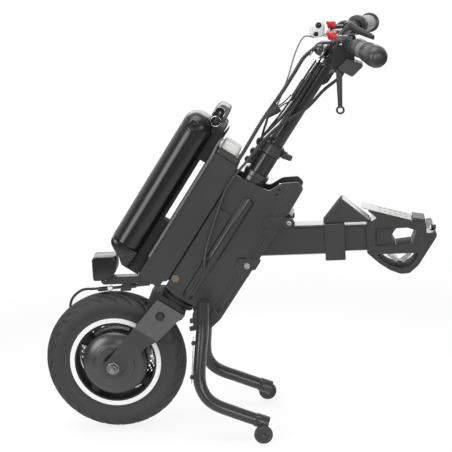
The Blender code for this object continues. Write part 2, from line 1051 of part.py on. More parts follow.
def build_head_tube(steer):
    turned(
        "head_tube",
        STEEL,
        steer,
        [
            (STEERER_R + GAP, CUP_TOP - 2 * GAP),
            (0.026, CUP_TOP - 2 * GAP),
            (0.0285, CUP_TOP - 0.003),
            (0.0285, HEAD_TUBE_TOP),
            (HEAD_TUBE_R, HEAD_TUBE_TOP - 0.002),
            (HEAD_TUBE_R, PLATE_BOTTOM),
            (STEERER_R + GAP, PLATE_BOTTOM),
        ],
        (STEER_V, 0, 0),
        (0, 0, 1),
        20,
        closed=True,
    )


def build_beam(steer):
    beam = plate(
        "beam_housing",
        BLACK_COAT,
        steer,
        [
            (BEAM_FRONT, BEAM_FOOT, 0.001),
            (BEAM_FRONT, BEAM_TOP, 0.001),
            (BEAM_REAR, BEAM_TOP, 0.001),
            (BEAM_REAR, 0.227, 0.002),
            (-0.006, 0.222, 0.002),
            (-0.008, BEAM_FOOT, 0.002),
        ],
        -BEAM_HALF,
        BEAM_HALF,
        0.003,
        0.0,
        1,
    )
    rim = BEAM_HALF - 0.0015
    cap = box(
        "beam_cap",
        BLACK_PLASTIC,
        steer,
        (BEAM_FRONT + 0.002, -rim, BEAM_TOP - 0.002),
        (BEAM_REAR - 0.002, rim, CAP_TOP),
        0.005,
        2,
    )
    join(beam, cap)
    box(
        "beam_top_block",
        PALE_GREY,
        steer,
        (-0.053, -0.020, CAP_TOP + GAP),
        (-0.011, 0.020, TOP_BLOCK_TOP),
        0.005,
        2,
    )
    rail = plate(
        "battery_rail",
        BLACK_PLASTIC,
        steer,
        [
            (BEAM_FRONT - GAP, 0.212, 0.001),
            (BEAM_FRONT - GAP, CAP_TOP + 0.002, 0.001),
            (-0.0555, CAP_TOP + 0.004, 0.001),
            (-0.0555, 0.612, 0.002),
            (-0.0627, 0.612, 0.002),
            (-0.0627, DOME_START + 0.0055, 0.001),
            (BATTERY_REAR + GAP, DOME_START + 0.0055, 0.002),
            (BATTERY_REAR + GAP, BATTERY_TIP_U - GAP, 0.0),
            (-0.103, BATTERY_TIP_U - GAP, 0.002),
            (-0.103, 0.199, 0.002),
            (-0.072, 0.199, 0.004),
        ],
        -RAIL_HALF,
        RAIL_HALF,
        0.0008,
        0.0,
        2,
    )
    window = plate(
        "rail_window",
        BLACK_PLASTIC,
        steer,
        [
            (RAIL_FRONT, WINDOW_FOOT, 0.001),
            (RAIL_FRONT, WINDOW_TOP, 0.001),
            (SLIDE_REAR, WINDOW_TOP, 0.001),
            (SLIDE_REAR, WINDOW_FOOT, 0.001),
        ],
        -RAIL_HALF - 0.01,
        RAIL_HALF + 0.01,
        0.0,
        0.0,
        2,
    )
    cut(rail, window)
    return rail


def battery_section(front, rear, half, u, corner):
    """A rounded rectangle across the battery at one height."""
    points = []
    corner = min(corner, (rear - front) / 2 * 0.98, half * 0.98)
    corners = [
        (rear - corner, half - corner, 0),
        (front + corner, half - corner, 90),
        (front + corner, corner - half, 180),
        (rear - corner, corner - half, 270),
    ]
    for centre_v, centre_y, start in corners:
        for v, y in arc((centre_v, centre_y), corner, start, start + 90, 4):
            points.append((v, y, u))
    return points


def build_battery(steer):
    tip_front = -0.098
    taper = []
    steps = 5
    for step in range(steps + 1):
        share = step / steps
        u = BATTERY_TIP_U + (BATTERY_SEAM - GAP - BATTERY_TIP_U) * share
        front = tip_front + (BATTERY_FRONT - tip_front) * share
        half = 0.036 + (BATTERY_HALF - 0.036) * math.sin(share * math.pi / 2)
        taper.append(battery_section(front, BATTERY_REAR, half, u, 0.006 + (BATTERY_CORNER - 0.006) * share))
    loft("battery_base", GLOSS_BLACK, steer, taper)

    body = [battery_section(BATTERY_FRONT, BATTERY_REAR, BATTERY_HALF, BATTERY_SEAM, BATTERY_CORNER)]
    for step in range(6):
        angle = math.radians(80 * step / 5)
        inset = 0.024 * (1 - math.cos(angle))
        u = DOME_START + (BATTERY_TOP - DOME_START) * math.sin(angle) / math.sin(math.radians(80))
        body.append(
            battery_section(
                BATTERY_FRONT + inset,
                BATTERY_REAR - inset,
                BATTERY_HALF - inset,
                u,
                BATTERY_CORNER - inset * 0.4,
            )
        )
    case = loft("battery_case", GLOSS_BLACK, steer, body)
    plug = turned(
        "battery_plug",
        BLACK_PLASTIC,
        steer,
        [(0, 0.006), (0.0105, 0.006), (0.0125, 0.0045), (0.0125, -0.014), (0, -0.014)],
        (-0.128, -BATTERY_HALF + 0.002, 0.562),
        (0, -1, 0),
        20,
    )
    join(case, plug)


def build_lock(steer):
    lock = plate(
        "lock_housing",
        BLACK_PLASTIC,
        steer,
        [
            (-0.105, 0.5905, 0.002),
            (-0.105, 0.610, 0.004),
            (-0.098, LOCK_TOP, 0.008),
            (-0.075, LOCK_TOP, 0.008),
            (-0.0627 - GAP, 0.612, 0.006),
            (-0.0627 - GAP, 0.566, 0.002),
            (-0.083, 0.566, 0.002),
            (-0.083, 0.5905, 0.001),
        ],
        -LOCK_HALF,
        LOCK_HALF,
        0.0015,
        0.0,
        2,
    )
    arch = plate(
        "lock_arch_space",
        BLACK_PLASTIC,
        steer,
        [
            (-0.0985, 0.604, 0.003),
            (-0.0985, 0.614, 0.004),
            (-0.093, LOCK_TOP - 0.006, 0.006),
            (-0.080, LOCK_TOP - 0.006, 0.006),
            (-0.0710, 0.611, 0.004),
            (-0.0710, 0.600, 0.003),
        ],
        -LOCK_HALF - 0.01,
        -LOCK_HALF + LOCK_RECESS,
        0.0,
        0.0,
        2,
    )
    cut(lock, arch)
    ring_centre = (-0.090, 0.5965)
    ring = turned(
        "lock_lever",
        CHROME,
        steer,
        [
            (0, 0.0075),
            (0.0055, 0.0075),
            (0.0055, 0.0045),
            (0.0095, 0.0045),
            (0.0105, 0.0055),
            (LOCK_RING_R, 0.0045),
            (LOCK_RING_R, GAP),
            (0, GAP),
        ],
        (ring_centre[0], -LOCK_HALF, ring_centre[1]),
        (0, -1, 0),
        24,
    )
    key = plate(
        "lock_key",
        STEEL,
        steer,
        [(-0.0925, 0.598), (-0.0935, 0.6185), (-0.086, 0.6215), (-0.0865, 0.598)],
        -LOCK_HALF - 0.0066,
        -LOCK_HALF - 0.0030,
        0.0,
        0.002,
        2,
    )
    join(ring, key)


def build_conduit(steer):
    points = route(
        [
            (-0.0645, -0.027, 0.345),
            (-0.0645, -0.027, 0.400),
            (-0.0645, -0.027, 0.460),
            (-0.0645, -0.027, 0.520),
            (-0.0650, -0.026, 0.543),
            (-0.0610, -0.024, 0.556),
            (-0.0575, -0.022, 0.566),
        ],
        4,
    )
    ribbed("beam_conduit", BLACK_PLASTIC, steer, points, 0.0038, 0.0088, 0.0006)


def build_headlight(ground, steer):
    pivot = LIGHT_PIVOT
    end_r = 0.0085
    bar_low = pivot.z - end_r
    bar_high = pivot.z + end_r
    bar = plate(
        "headlight_bar",
        BLACK_COAT,
        ground,
        [
            (0.140, bar_low),
            *arc((pivot.x, pivot.z), end_r, 270, 90, 6),
            (0.140, bar_high),
        ],
        -LIGHT_BAR_HALF,
        LIGHT_BAR_HALF,
        0.001,
    )
    beam_space = plate(
        "beam_foot_space",
        BLACK_COAT,
        steer,
        [
            (BEAM_FRONT, BEAM_FOOT - GAP),
            (-0.120, BEAM_FOOT - GAP),
            (-0.120, 0.300),
            (0.060, 0.300),
            (0.060, 0.10),
            (-0.0083, 0.10),
            (-0.0083, BEAM_FOOT - GAP),
        ],
        -0.05,
        0.05,
    )
    cut(bar, beam_space)
    clip = plate(
        "cable_clip",
        BLACK_PLASTIC,
        ground,
        [
            (0.018, 0.3195, 0.002),
            (0.030, bar_low + 0.001, 0.002),
            (0.044, bar_low + 0.001, 0.002),
            (0.044, 0.3195, 0.002),
        ],
        -0.007,
        0.007,
        0.0,
        0.0,
        2,
    )
    join(bar, clip)
    plug = turned(
        "motor_plug",
        BLACK_PLASTIC,
        ground,
        [
            (0, 0.0),
            (0.0030, 0.0),
            (0.0030, 0.030),
            (0.0050, 0.031),
            (0.0050, 0.043),
            (0.0062, 0.044),
            (0.0062, 0.062),
            (0.0035, 0.064),
            (0.0030, 0.1010),
            (0, 0.1010),
        ],
        (0.0860, 0.0, 0.3315),
        (-1.0, 0.0, -0.0685),
        14,
    )
    join(bar, plug)
    bolt = rod(
        "light_bolt_space",
        STEEL,
        ground,
        (pivot.x, -0.03, pivot.z),
        (pivot.x, 0.03, pivot.z),
        0.0034,
        12,
    )
    cut(bar, bolt)

    lamp_floor = pivot.z + 0.0125
    lamp = plate(
        "headlight",
        BLACK_PLASTIC,
        ground,
        [
            (-0.036, 0.350, 0.004),
            (-0.037, 0.390, 0.006),
            (-0.034, 0.404, 0.006),
            (0.014, 0.403, 0.008),
            (0.018, 0.376, 0.006),
            (-0.004, lamp_floor, 0.004),
            (-0.024, lamp_floor, 0.002),
        ],
        -LIGHT_HALF,
        LIGHT_HALF,
        0.004,
        0.0,
        2,
    )
    for label, side in SIDES:
        inner = LIGHT_BAR_HALF + GAP
        cheek = plate(
            f"lamp_cheek_{label}",
            BLACK_PLASTIC,
            ground,
            [
                (pivot.x + 0.007, lamp_floor + 0.012),
                (pivot.x + 0.007, pivot.z),
                *arc((pivot.x, pivot.z), 0.007, -30, -150, 4),
                (pivot.x - 0.007, pivot.z),
                (pivot.x - 0.007, lamp_floor + 0.012),
            ],
            side * inner,
            side * (inner + 0.003),
        )
        join(lamp, cheek)
    pin = rod(
        "lamp_bolt",
        STEEL,
        ground,
        (pivot.x, -LIGHT_BAR_HALF - 0.006, pivot.z),
        (pivot.x, LIGHT_BAR_HALF + 0.006, pivot.z),
        0.003,
        12,
    )
    join(lamp, pin)


def build_column(steer, ground):
    """The telescopic column with the stem and its clamp round the bar."""
    bar_u = BAR_CENTRE.x * math.sin(TILT) + (BAR_CENTRE.z - DRAWN_FOR[0]) * math.cos(TILT)
    bar_v = BAR_CENTRE.x * math.cos(TILT) - (BAR_CENTRE.z - DRAWN_FOR[0]) * math.sin(TILT)
    column = turned(
        "column_tube",
        BLACK_COAT,
        steer,
        [
            (0, bar_u + 0.008),
            (0.014, bar_u + 0.008),
            (0.0205, bar_u - 0.006),
            (0.0205, 0.816),
            (0.0195, 0.815),
            (COLUMN_R, 0.8145),
            (COLUMN_R, COLUMN_FOOT),
            (COLUMN_R - COLUMN_WALL, COLUMN_FOOT),
            (COLUMN_R - COLUMN_WALL, COLUMN_TOP),
            (0, COLUMN_TOP),
        ],
        (STEER_V, 0, 0),
        (0, 0, 1),
        24,
    )
    clamp = rod("bar_clamp", BLACK_COAT, steer, (bar_v, -0.024, bar_u), (bar_v, 0.024, bar_u), 0.0175, 20)
    step_plate = plate(
        "column_step",
        BLACK_COAT,
        steer,
        [
            (STEER_V + 0.012, 0.775),
            (STEER_V + 0.012, 0.8205),
            (STEER_V + 0.0245, 0.8205),
            (STEER_V + 0.0245, 0.786),
            (STEER_V + 0.0185, 0.775),
        ],
        -0.010,
        0.010,
        0.0,
        0.001,
        1,
    )
    button = turned(
        "horn_button",
        BLACK_PLASTIC,
        ground,
        [
            (0, 0.021),
            (0.0085, 0.021),
            (0.0095, 0.019),
            (0.0095, 0.006),
            (0.0080, 0.004),
            (0.0080, -0.002),
            (0, -0.002),
        ],
        (0.4885, -0.001, 0.8195),
        (0.0, -1.0, 0.0),
        14,
    )
    join(column, clamp, step_plate, button)
    bar_bore = rod(
        "bar_bore",
        BLACK_COAT,
        ground,
        BAR_CENTRE - Vector((0, 0.03, 0)),
        BAR_CENTRE + Vector((0, 0.03, 0)),
        BAR_R + BORE_GAP,
        20,
    )
    cut(column, bar_bore)


def bar_half(side):
    """The bar's route from beside the stem out to one end."""
    clamp_side = Vector((BAR_CENTRE.x, 0.034, BAR_CENTRE.z))
    shape = [
        BAR_CENTRE,
        clamp_side,
        Vector((0.525, 0.068, 0.847)),
        Vector((0.542, 0.115, 0.859)),
        BAR_GRIP_IN,
        BAR_END,
    ]
    return mirrored_y([*smooth(shape, 3), BAR_END - grip_direction(1) * 0.002], side)


def grip_direction(side):
    along = (BAR_END - BAR_GRIP_IN).normalized()
    return Vector((along.x, along.y * side, along.z))


def build_handlebar(ground):
    right = bar_half(1)
    left = bar_half(-1)
    tube("handlebar", BLACK_COAT, ground, list(reversed(left)) + right, BAR_R, 3)

    length = (BAR_END - BAR_GRIP_IN).length
    bore = BAR_R + BORE_GAP
    nose = length + 0.004
    turned(
        "grip_left",
        RUBBER,
        ground,
        [
            (0.0, length - 0.002 + GAP),
            (bore, length - 0.002 + GAP),
            (bore, 0.006),
            (0.0185, 0.006),
            (0.0205, 0.012),
            (0.0165, 0.016),
            (0.0185, 0.022),
            (0.0185, 0.056),
            (0.0195, 0.058),
            (0.0195, 0.062),
            (0.0185, 0.064),
            (GRIP_R + 0.001, 0.068),
            (GRIP_END_R, 0.084),
            (GRIP_END_R, nose - 0.018),
            (GRIP_R - 0.001, nose - 0.006),
            (0.013, nose),
            (0.0, nose),
        ],
        mirrored_y([BAR_GRIP_IN], -1)[0],
        grip_direction(-1),
        16,
    )
    turned(
        "throttle_grip",
        RUBBER,
        ground,
        [
            (0.0, length - 0.002 + GAP),
            (bore, length - 0.002 + GAP),
            (bore, 0.016),
            (0.0215, 0.016),
            (0.0225, 0.018),
            (0.0225, 0.032),
            (0.0190, 0.034),
            (0.0200, 0.046),
            (0.0165, 0.048),
            (0.0175, 0.075),
            (0.0165, nose - 0.010),
            (GRIP_END_R, nose - 0.008),
            (GRIP_END_R, nose - 0.003),
            (0.018, nose),
            (0.0, nose),
        ],
        BAR_GRIP_IN,
        grip_direction(1),
        16,
    )


def strip(name, look, frame, points, wide, thick, shares=None):
    """A flat bar through points, its section spanned by two half widths."""
    wide = Vector(wide)
    thick = Vector(thick)
    sections = []
    for index, point in enumerate(points):
        here = Vector(point)
        across = wide * (shares[index] if shares else 1.0)
        sections.append(
            [here + across + thick, here - across + thick, here - across - thick, here + across - thick],
        )
    return loft(name, look, frame, sections)


def build_brakes(ground):
    """The near lever stands over its grip, the far one lies in front of the twist grip."""
    bodies = {
        "left": [(0.552, 0.1435, 0.8806), (0.530, 0.136, 0.8812), (0.508, 0.126, 0.8790)],
        "right": [(0.5370, 0.1385, 0.8685), (0.522, 0.1325, 0.8690), (0.508, 0.126, 0.8690)],
    }
    catch_foot = {"left": 0.8810, "right": 0.8705}
    levers = {
        "left": [
            (0.529, 0.138, 0.8911),
            (0.539, 0.142, 0.9030),
            (0.5505, 0.150, 0.9070),
            (0.567, 0.182, 0.8985),
            (0.583, 0.212, 0.8945),
            (0.592, 0.230, 0.8915),
        ],
        "right": [
            (0.5200, 0.1403, 0.8690),
            (0.5246, 0.160, 0.8690),
            (0.5322, 0.190, 0.8685),
            (0.5410, 0.212, 0.8675),
            (0.5480, 0.228, 0.8665),
        ],
    }
    shares = {"left": (1.0, 1.1, 1.25, 1.7, 1.5, 1.1), "right": (1.0, 1.3, 1.6, 1.5, 1.2)}
    for label, side in SIDES:
        inner, outer = bar_half(side)[7:9]
        axis = (outer - inner).normalized()
        start = (inner + outer) / 2 - axis * 0.0065
        perch = turned(
            f"brake_perch_{label}",
            BLACK_COAT,
            ground,
            [
                (BAR_R + 0.0009, 0.014),
                (0.0165, 0.014),
                (0.0165, 0.0),
                (BAR_R + 0.0009, 0.0),
            ],
            start,
            axis,
            20,
            closed=True,
        )
        body = strip(
            f"perch_body_{label}",
            BLACK_COAT,
            ground,
            mirrored_y(bodies[label], side),
            (0.0, 0.0070, 0.0),
            (0.0008, 0.0, 0.0045),
        )
        join(perch, body)
        across = (0.0022, 0.0, 0.0045) if label == "left" else (0.0, 0.0, 0.0045)
        through = (0.0018, 0.0012, -0.0008) if label == "left" else (0.0014, -0.0006, 0.0)
        strip(
            f"brake_lever_{label}",
            BLACK_COAT,
            ground,
            mirrored_y(levers[label], side),
            across,
            through,
            shares[label],
        )
        catch = box(
            f"parking_lock_{label}",
            RED,
            ground,
            (0.503, min(side * 0.122, side * 0.138), catch_foot[label]),
            (0.519, max(side * 0.122, side * 0.138), catch_foot[label] + 0.0115),
        )
        join(perch, catch)


def build_bar_pieces(ground):
    display = box(
        "display",
        PALE_GREY,
        ground,
        (0.464, -0.019, 0.870),
        (0.496, 0.019, 0.897),
        0.006,
        2,
    )
    display_foot = plate(
        "display_foot",
        BLACK_PLASTIC,
        ground,
        [(0.482, 0.8745), (0.496, 0.8755), (0.5185, 0.8640), (0.5130, 0.8594)],
        -0.008,
        0.008,
    )
    join(display, display_foot)
    bell = turned(
        "bell",
        CHROME,
        ground,
        [
            (0, 0.017),
            (0.007, 0.0155),
            (0.0120, 0.011),
            (0.0145, 0.004),
            (0.0145, 0.0),
            (0.006, -0.002),
            (0.006, -0.0085),
            (0, -0.0085),
        ],
        (0.4880, -0.0245, 0.8440),
        (-0.80, -0.35, 0.30),
        20,
    )
    bell_foot = rod(
        "bell_foot",
        CHROME,
        ground,
        (0.4900, -0.0185, 0.8462),
        (0.5024, -0.0185, 0.8462),
        0.0035,
        10,
    )
    join(bell, bell_foot)


def build_release_lever(ground):
    box_outline = [(0.518, 0.820), (0.541, 0.840), (0.575, 0.826), (0.549, 0.802)]
    low_y = -0.153
    high_y = -0.117
    body = plate("stand_release", BLACK_PLASTIC, ground, box_outline, low_y, high_y, 0.002, 0.004, 2)
    hanger = plate(
        "release_hanger",
        BLACK_PLASTIC,
        ground,
        [(0.536, 0.832), (0.536, 0.8475), (0.552, 0.8475), (0.552, 0.832)],
        -0.130,
        -0.120,
    )
    join(body, hanger)


def build_strap(ground):
    middle = Vector((0.5225, -0.140, 0.7402))
    body = plate(
        "pull_strap",
        RUBBER,
        ground,
        [
            (middle.x - STRAP_HALF, 0.8193),
            (middle.x - STRAP_HALF + 0.0005, middle.z),
            *arc((middle.x, middle.z - 0.0075), 0.0092, 140, 400, 10),
            (middle.x + STRAP_HALF - 0.0005, middle.z),
            (middle.x + STRAP_HALF, 0.8128),
        ],
        middle.y - 0.0014,
        middle.y + 0.0014,
    )
    eye = rod(
        "strap_eye",
        RUBBER,
        ground,
        (middle.x, middle.y - 0.01, middle.z - 0.0075),
        (middle.x, middle.y + 0.01, middle.z - 0.0075),
        0.0050,
        12,
    )
    cut(body, eye)


def to_floor(z):
    """A height on the stand, stretched so that the foot meets the floor under a lifted frame."""
    share = min(1.0, max(0.0, (STAND_PIVOT.z - z) / (STAND_PIVOT.z - 0.0985)))
    return z - 2 * GROWTH * share


def build_stand(ground):
    pivot = STAND_PIVOT
    foot_z = to_floor(FOOT_WHEEL_R)
    reach = STAND_TOP_Y - STAND_TUBE_R - GAP
    shaft = rod(
        "stand_shaft",
        STEEL,
        ground,
        pivot - Vector((0, reach, 0)),
        pivot + Vector((0, reach, 0)),
        STAND_SHAFT_R,
        14,
    )
    for label, side in SIDES:
        sector = plate(
            f"stand_sector_{label}",
            BLACK_COAT,
            ground,
            [
                (pivot.x + 0.012, pivot.z + 0.006, 0.006),
                (pivot.x - 0.004, pivot.z + 0.014, 0.008),
                (pivot.x - 0.026, pivot.z - 0.004, 0.004),
                (pivot.x - 0.027, pivot.z - 0.016, 0.001),
                (pivot.x - 0.034, pivot.z - 0.019, 0.001),
                (pivot.x - 0.033, pivot.z - 0.028, 0.001),
                (pivot.x - 0.026, pivot.z - 0.027, 0.001),
                (pivot.x - 0.027, pivot.z - 0.034, 0.001),
                (pivot.x - 0.036, pivot.z - 0.037, 0.001),
                (pivot.x - 0.034, pivot.z - 0.046, 0.001),
                (pivot.x - 0.022, pivot.z - 0.044, 0.002),
                (pivot.x + 0.008, pivot.z - 0.014, 0.006),
            ],
            side * 0.042,
            side * 0.048,
            0.0,
            0.0,
            1,
        )
        join(shaft, sector)
        plate_hole = rod(
            f"shaft_hole_{label}",
            STEEL,
            ground,
            pivot + Vector((0, side * (PLATE_IN - 0.004), 0)),
            pivot + Vector((0, side * (PLATE_OUT + 0.008), 0)),
            STAND_SHAFT_R + BORE_GAP,
            14,
        )
        cut(bpy.data.objects[f"side_plate_{label}"], plate_hole)

        leg_route = mirrored_y(
            [
                (0.2100, 0.0690, 0.3100),
                (0.2085, 0.0700, 0.2900),
                (0.2050, 0.0750, 0.2480),
                (0.1980, 0.0860, 0.1900),
                (0.1940, 0.0935, 0.1500),
                (0.1960, 0.0985, 0.1230),
                (0.2080, 0.1050, 0.0985),
                (0.2290, 0.1100, 0.0820),
                (0.2620, STAND_FOOT_Y, 0.0680),
                (0.3180, STAND_FOOT_Y, 0.0455),
                (0.3540, STAND_FOOT_Y, 0.0310),
            ],
            side,
        )
        leg_route = [Vector((x, y, to_floor(z))) for x, y, z in leg_route]
        leg = as_mesh(tube(f"stand_leg_{label}", BLACK_COAT, ground, smooth(leg_route, 2), STAND_TUBE_R, 4))
        out = (leg_route[-2] - leg_route[-3]).normalized()
        end = leg_route[-2]
        sleeve = turned(
            f"foot_sleeve_{label}",
            BLACK_COAT,
            ground,
            [
                (0, 0.030),
                (0.0145, 0.030),
                (0.0155, 0.029),
                (0.0155, 0.001),
                (0.0145, 0.0),
                (0, 0.0),
            ],
            end - out * 0.004,
            out,
            16,
        )
        join(leg, sleeve)
        wheel_y = STAND_FOOT_Y + STAND_TUBE_R + 0.0045
        ear = plate(
            f"foot_ear_{label}",
            BLACK_COAT,
            ground,
            [
                (FOOT_AXLE_X - 0.010, to_floor(0.046)),
                (FOOT_AXLE_X - 0.0075, foot_z),
                *arc((FOOT_AXLE_X, foot_z), 0.0075, 210, 330, 4),
                (FOOT_AXLE_X + 0.0075, foot_z),
                (FOOT_AXLE_X + 0.012, to_floor(0.040)),
            ],
            side * (STAND_FOOT_Y + 0.008),
            side * (wheel_y - 0.001),
        )
        join(leg, ear)
        pin = rod(
            f"foot_pin_{label}",
            STEEL,
            ground,
            (FOOT_AXLE_X, side * (STAND_FOOT_Y + 0.010), foot_z),
            (FOOT_AXLE_X, side * (wheel_y + FOOT_WHEEL_THICK + 0.0015), foot_z),
            0.0035,
            12,
        )
        join(leg, pin)
        bore = 0.0035 + BORE_GAP
        turned(
            f"foot_wheel_{label}",
            RUBBER,
            ground,
            [
                (bore, 0.0),
                (0.0175, 0.0),
                (FOOT_WHEEL_R, 0.0025),
                (FOOT_WHEEL_R, FOOT_WHEEL_THICK - 0.0025),
                (0.0175, FOOT_WHEEL_THICK),
                (0.0125, FOOT_WHEEL_THICK),
                (0.0110, FOOT_WHEEL_THICK - 0.0015),
                (bore, FOOT_WHEEL_THICK - 0.0015),
            ],
            (FOOT_AXLE_X, side * (wheel_y - 0.001 + GAP), foot_z),
            (0, side, 0),
            20,
            closed=True,
        )


def build_leg_wire(ground):
    """The release wire with its two clamps, down the front of the near leg."""
    start = (0.1846, -0.0760, to_floor(0.232))
    end = (0.1760, -0.0950, to_floor(0.128))
    wire = rod("leg_wire", STEEL, ground, start, end, 0.0012, 8)
    clamps = [((0.1835, -0.0790, 0.2165), 0.0045), ((0.1775, -0.0930, 0.1425), 0.0045)]
    for index, (place, radius) in enumerate(clamps):
        here = Vector((place[0], place[1], to_floor(place[2])))
        clamp = rod(
            f"wire_clamp_{index}",
            STEEL,
            ground,
            here - Vector((0, 0.005, 0)),
            here + Vector((0, 0.005, 0)),
            radius,
            12,
        )
        join(wire, clamp)
    join(bpy.data.objects["stand_leg_left"], wire)


def build_brackets(ground):
    upper = [
        (0.3435, 0.4625, 0.002),
        (0.3530, 0.4840, 0.004),
        (0.4040, 0.4820, 0.006),
        (0.4145, 0.4760, 0.006),
        (0.4150, 0.4640, 0.005),
        (0.4060, 0.4605, 0.004),
    ]
    lower = [
        (0.2800, 0.3740, 0.002),
        (0.2915, 0.3925, 0.004),
        (0.3370, 0.3910, 0.003),
        (0.3380, 0.3860, 0.003),
        (0.3255, 0.3670, 0.003),
        (0.3180, 0.3665, 0.003),
        (0.3090, 0.3515, 0.003),
        (0.2900, 0.3420, 0.006),
    ]
    low_y = PLATE_OUT - 0.001
    high_y = BRACKET_OUT
    pins = (("upper", upper, ARM_PIN), ("lower", lower, LATCH_PIN))
    for label, side in SIDES:
        side_plate = bpy.data.objects[f"side_plate_{label}"]
        for where, outline, centre in pins:
            bracket = plate(
                f"arm_bracket_{where}_{label}",
                BLACK_COAT,
                ground,
                outline,
                side * low_y,
                side * high_y,
                0.0,
                0.0,
                2,
            )
            hole = rod(
                f"bracket_hole_{where}_{label}",
                STEEL,
                ground,
                centre + Vector((0, side * (PLATE_IN - 0.003), 0)),
                centre + Vector((0, side * 0.050, 0)),
                PIN_R + BORE_GAP,
                10,
            )
            join(side_plate, bracket)
            cut(side_plate, hole)


def leaning_face(v, z):
    """The point at height z on a face that stands parallel to the steering axis."""
    return ((v + (z - DRAWN_FOR[0]) * math.sin(TILT)) / math.cos(TILT), z)


def build_arm(ground, steer):
    face_v = 0.134
    tube_body = plate(
        "arm_tube",
        BLACK_COAT,
        ground,
        [
            leaning_face(face_v, ARM_HIGH),
            (ARM_END + ARM_STRETCH, ARM_HIGH),
            (ARM_END + ARM_STRETCH, ARM_LOW),
            leaning_face(face_v, ARM_LOW),
        ],
        -ARM_HALF,
        ARM_HALF,
        0.004,
    )
    end_plate = plate(
        "arm_end_plate",
        BLACK_COAT,
        steer,
        [
            (face_v - 0.008, 0.366, 0.002),
            (face_v - 0.008, 0.476, 0.004),
            (0.143, 0.498, 0.006),
            (0.162, 0.496, 0.006),
            (0.168, 0.480, 0.006),
            (0.160, 0.468, 0.004),
            (face_v + 0.006, 0.462, 0.002),
            (face_v + 0.006, 0.352, 0.002),
        ],
        -ARM_HALF + 0.001,
        ARM_HALF - 0.001,
        0.0,
        0.0,
        2,
    )
    join(tube_body, end_plate)
    inner = box(
        "arm_hollow",
        BLACK_COAT,
        ground,
        (0.400, -INNER_HALF - GAP, ARM_LOW + ARM_WALL),
        (ARM_END + ARM_STRETCH + 0.05, INNER_HALF + GAP, ARM_HIGH - ARM_WALL),
    )
    cut(tube_body, inner)
    pin = rod(
        "arm_pin",
        STEEL,
        ground,
        ARM_PIN - Vector((0, BRACKET_OUT + 0.0035, 0)),
        ARM_PIN + Vector((0, BRACKET_OUT + 0.0035, 0)),
        PIN_R,
        16,
    )
    join(tube_body, pin)

    latch = rod(
        "latch_pin",
        STEEL,
        ground,
        LATCH_PIN - Vector((0, BRACKET_OUT + 0.004, 0)),
        LATCH_PIN + Vector((0, BRACKET_OUT - 0.001, 0)),
        PIN_R,
        16,
    )
    head = rod(
        "latch_head",
        STEEL,
        ground,
        LATCH_PIN - Vector((0, BRACKET_OUT + 0.0065, 0)),
        LATCH_PIN - Vector((0, BRACKET_OUT + GAP, 0)),
        0.0065,
        16,
    )
    join(latch, head)
    seat = plate(
        "latch_seat",
        STEEL,
        steer,
        [
            (face_v - 0.020, 0.345),
            (face_v - 0.020, 0.361),
            (face_v + 0.0012, 0.3625),
            (face_v + 0.0022, 0.3600),
            (face_v + 0.0022, 0.345),
        ],
        -0.05,
        0.05,
    )
    cut(tube_body, seat)

    sleeve_low = 0.379
    sleeve_high = 0.462
    sleeve_front = SLEEVE_FRONT + ARM_STRETCH
    sleeve_end = ARM_END + ARM_STRETCH
    tip = CRADLE_FRONT + STRETCH
    sleeve = plate(
        "clamp_sleeve",
        BLACK_COAT,
        ground,
        [
            (sleeve_front, sleeve_low),
            (sleeve_front, sleeve_high),
            (sleeve_end, sleeve_high),
            (sleeve_end, sleeve_low),
        ],
        -SLEEVE_HALF,
        SLEEVE_HALF,
        0.0015,
    )
    sleeve_bore = box(
        "sleeve_bore",
        BLACK_COAT,
        ground,
        (sleeve_front - 0.01, -ARM_HALF - GAP, ARM_LOW - GAP),
        (sleeve_end + 0.01, ARM_HALF + GAP, ARM_HIGH + GAP),
    )
    cut(sleeve, sleeve_bore)
    ramp = plate(
        "ramp_wedge",
        BLACK_COAT,
        ground,
        [
            (sleeve_front - 0.001, sleeve_high + GAP, 0.001),
            (sleeve_front - 0.001, 0.4700, 0.001),
            (sleeve_front + 0.0390, 0.5145, 0.001),
            (sleeve_front + 0.0425, 0.5145, 0.001),
            (tip + 0.006, 0.4660, 0.002),
            (tip + 0.001, sleeve_high + GAP, 0.001),
        ],
        -0.020,
        0.020,
        0.0,
        0.0,
        1,
    )
    return ramp


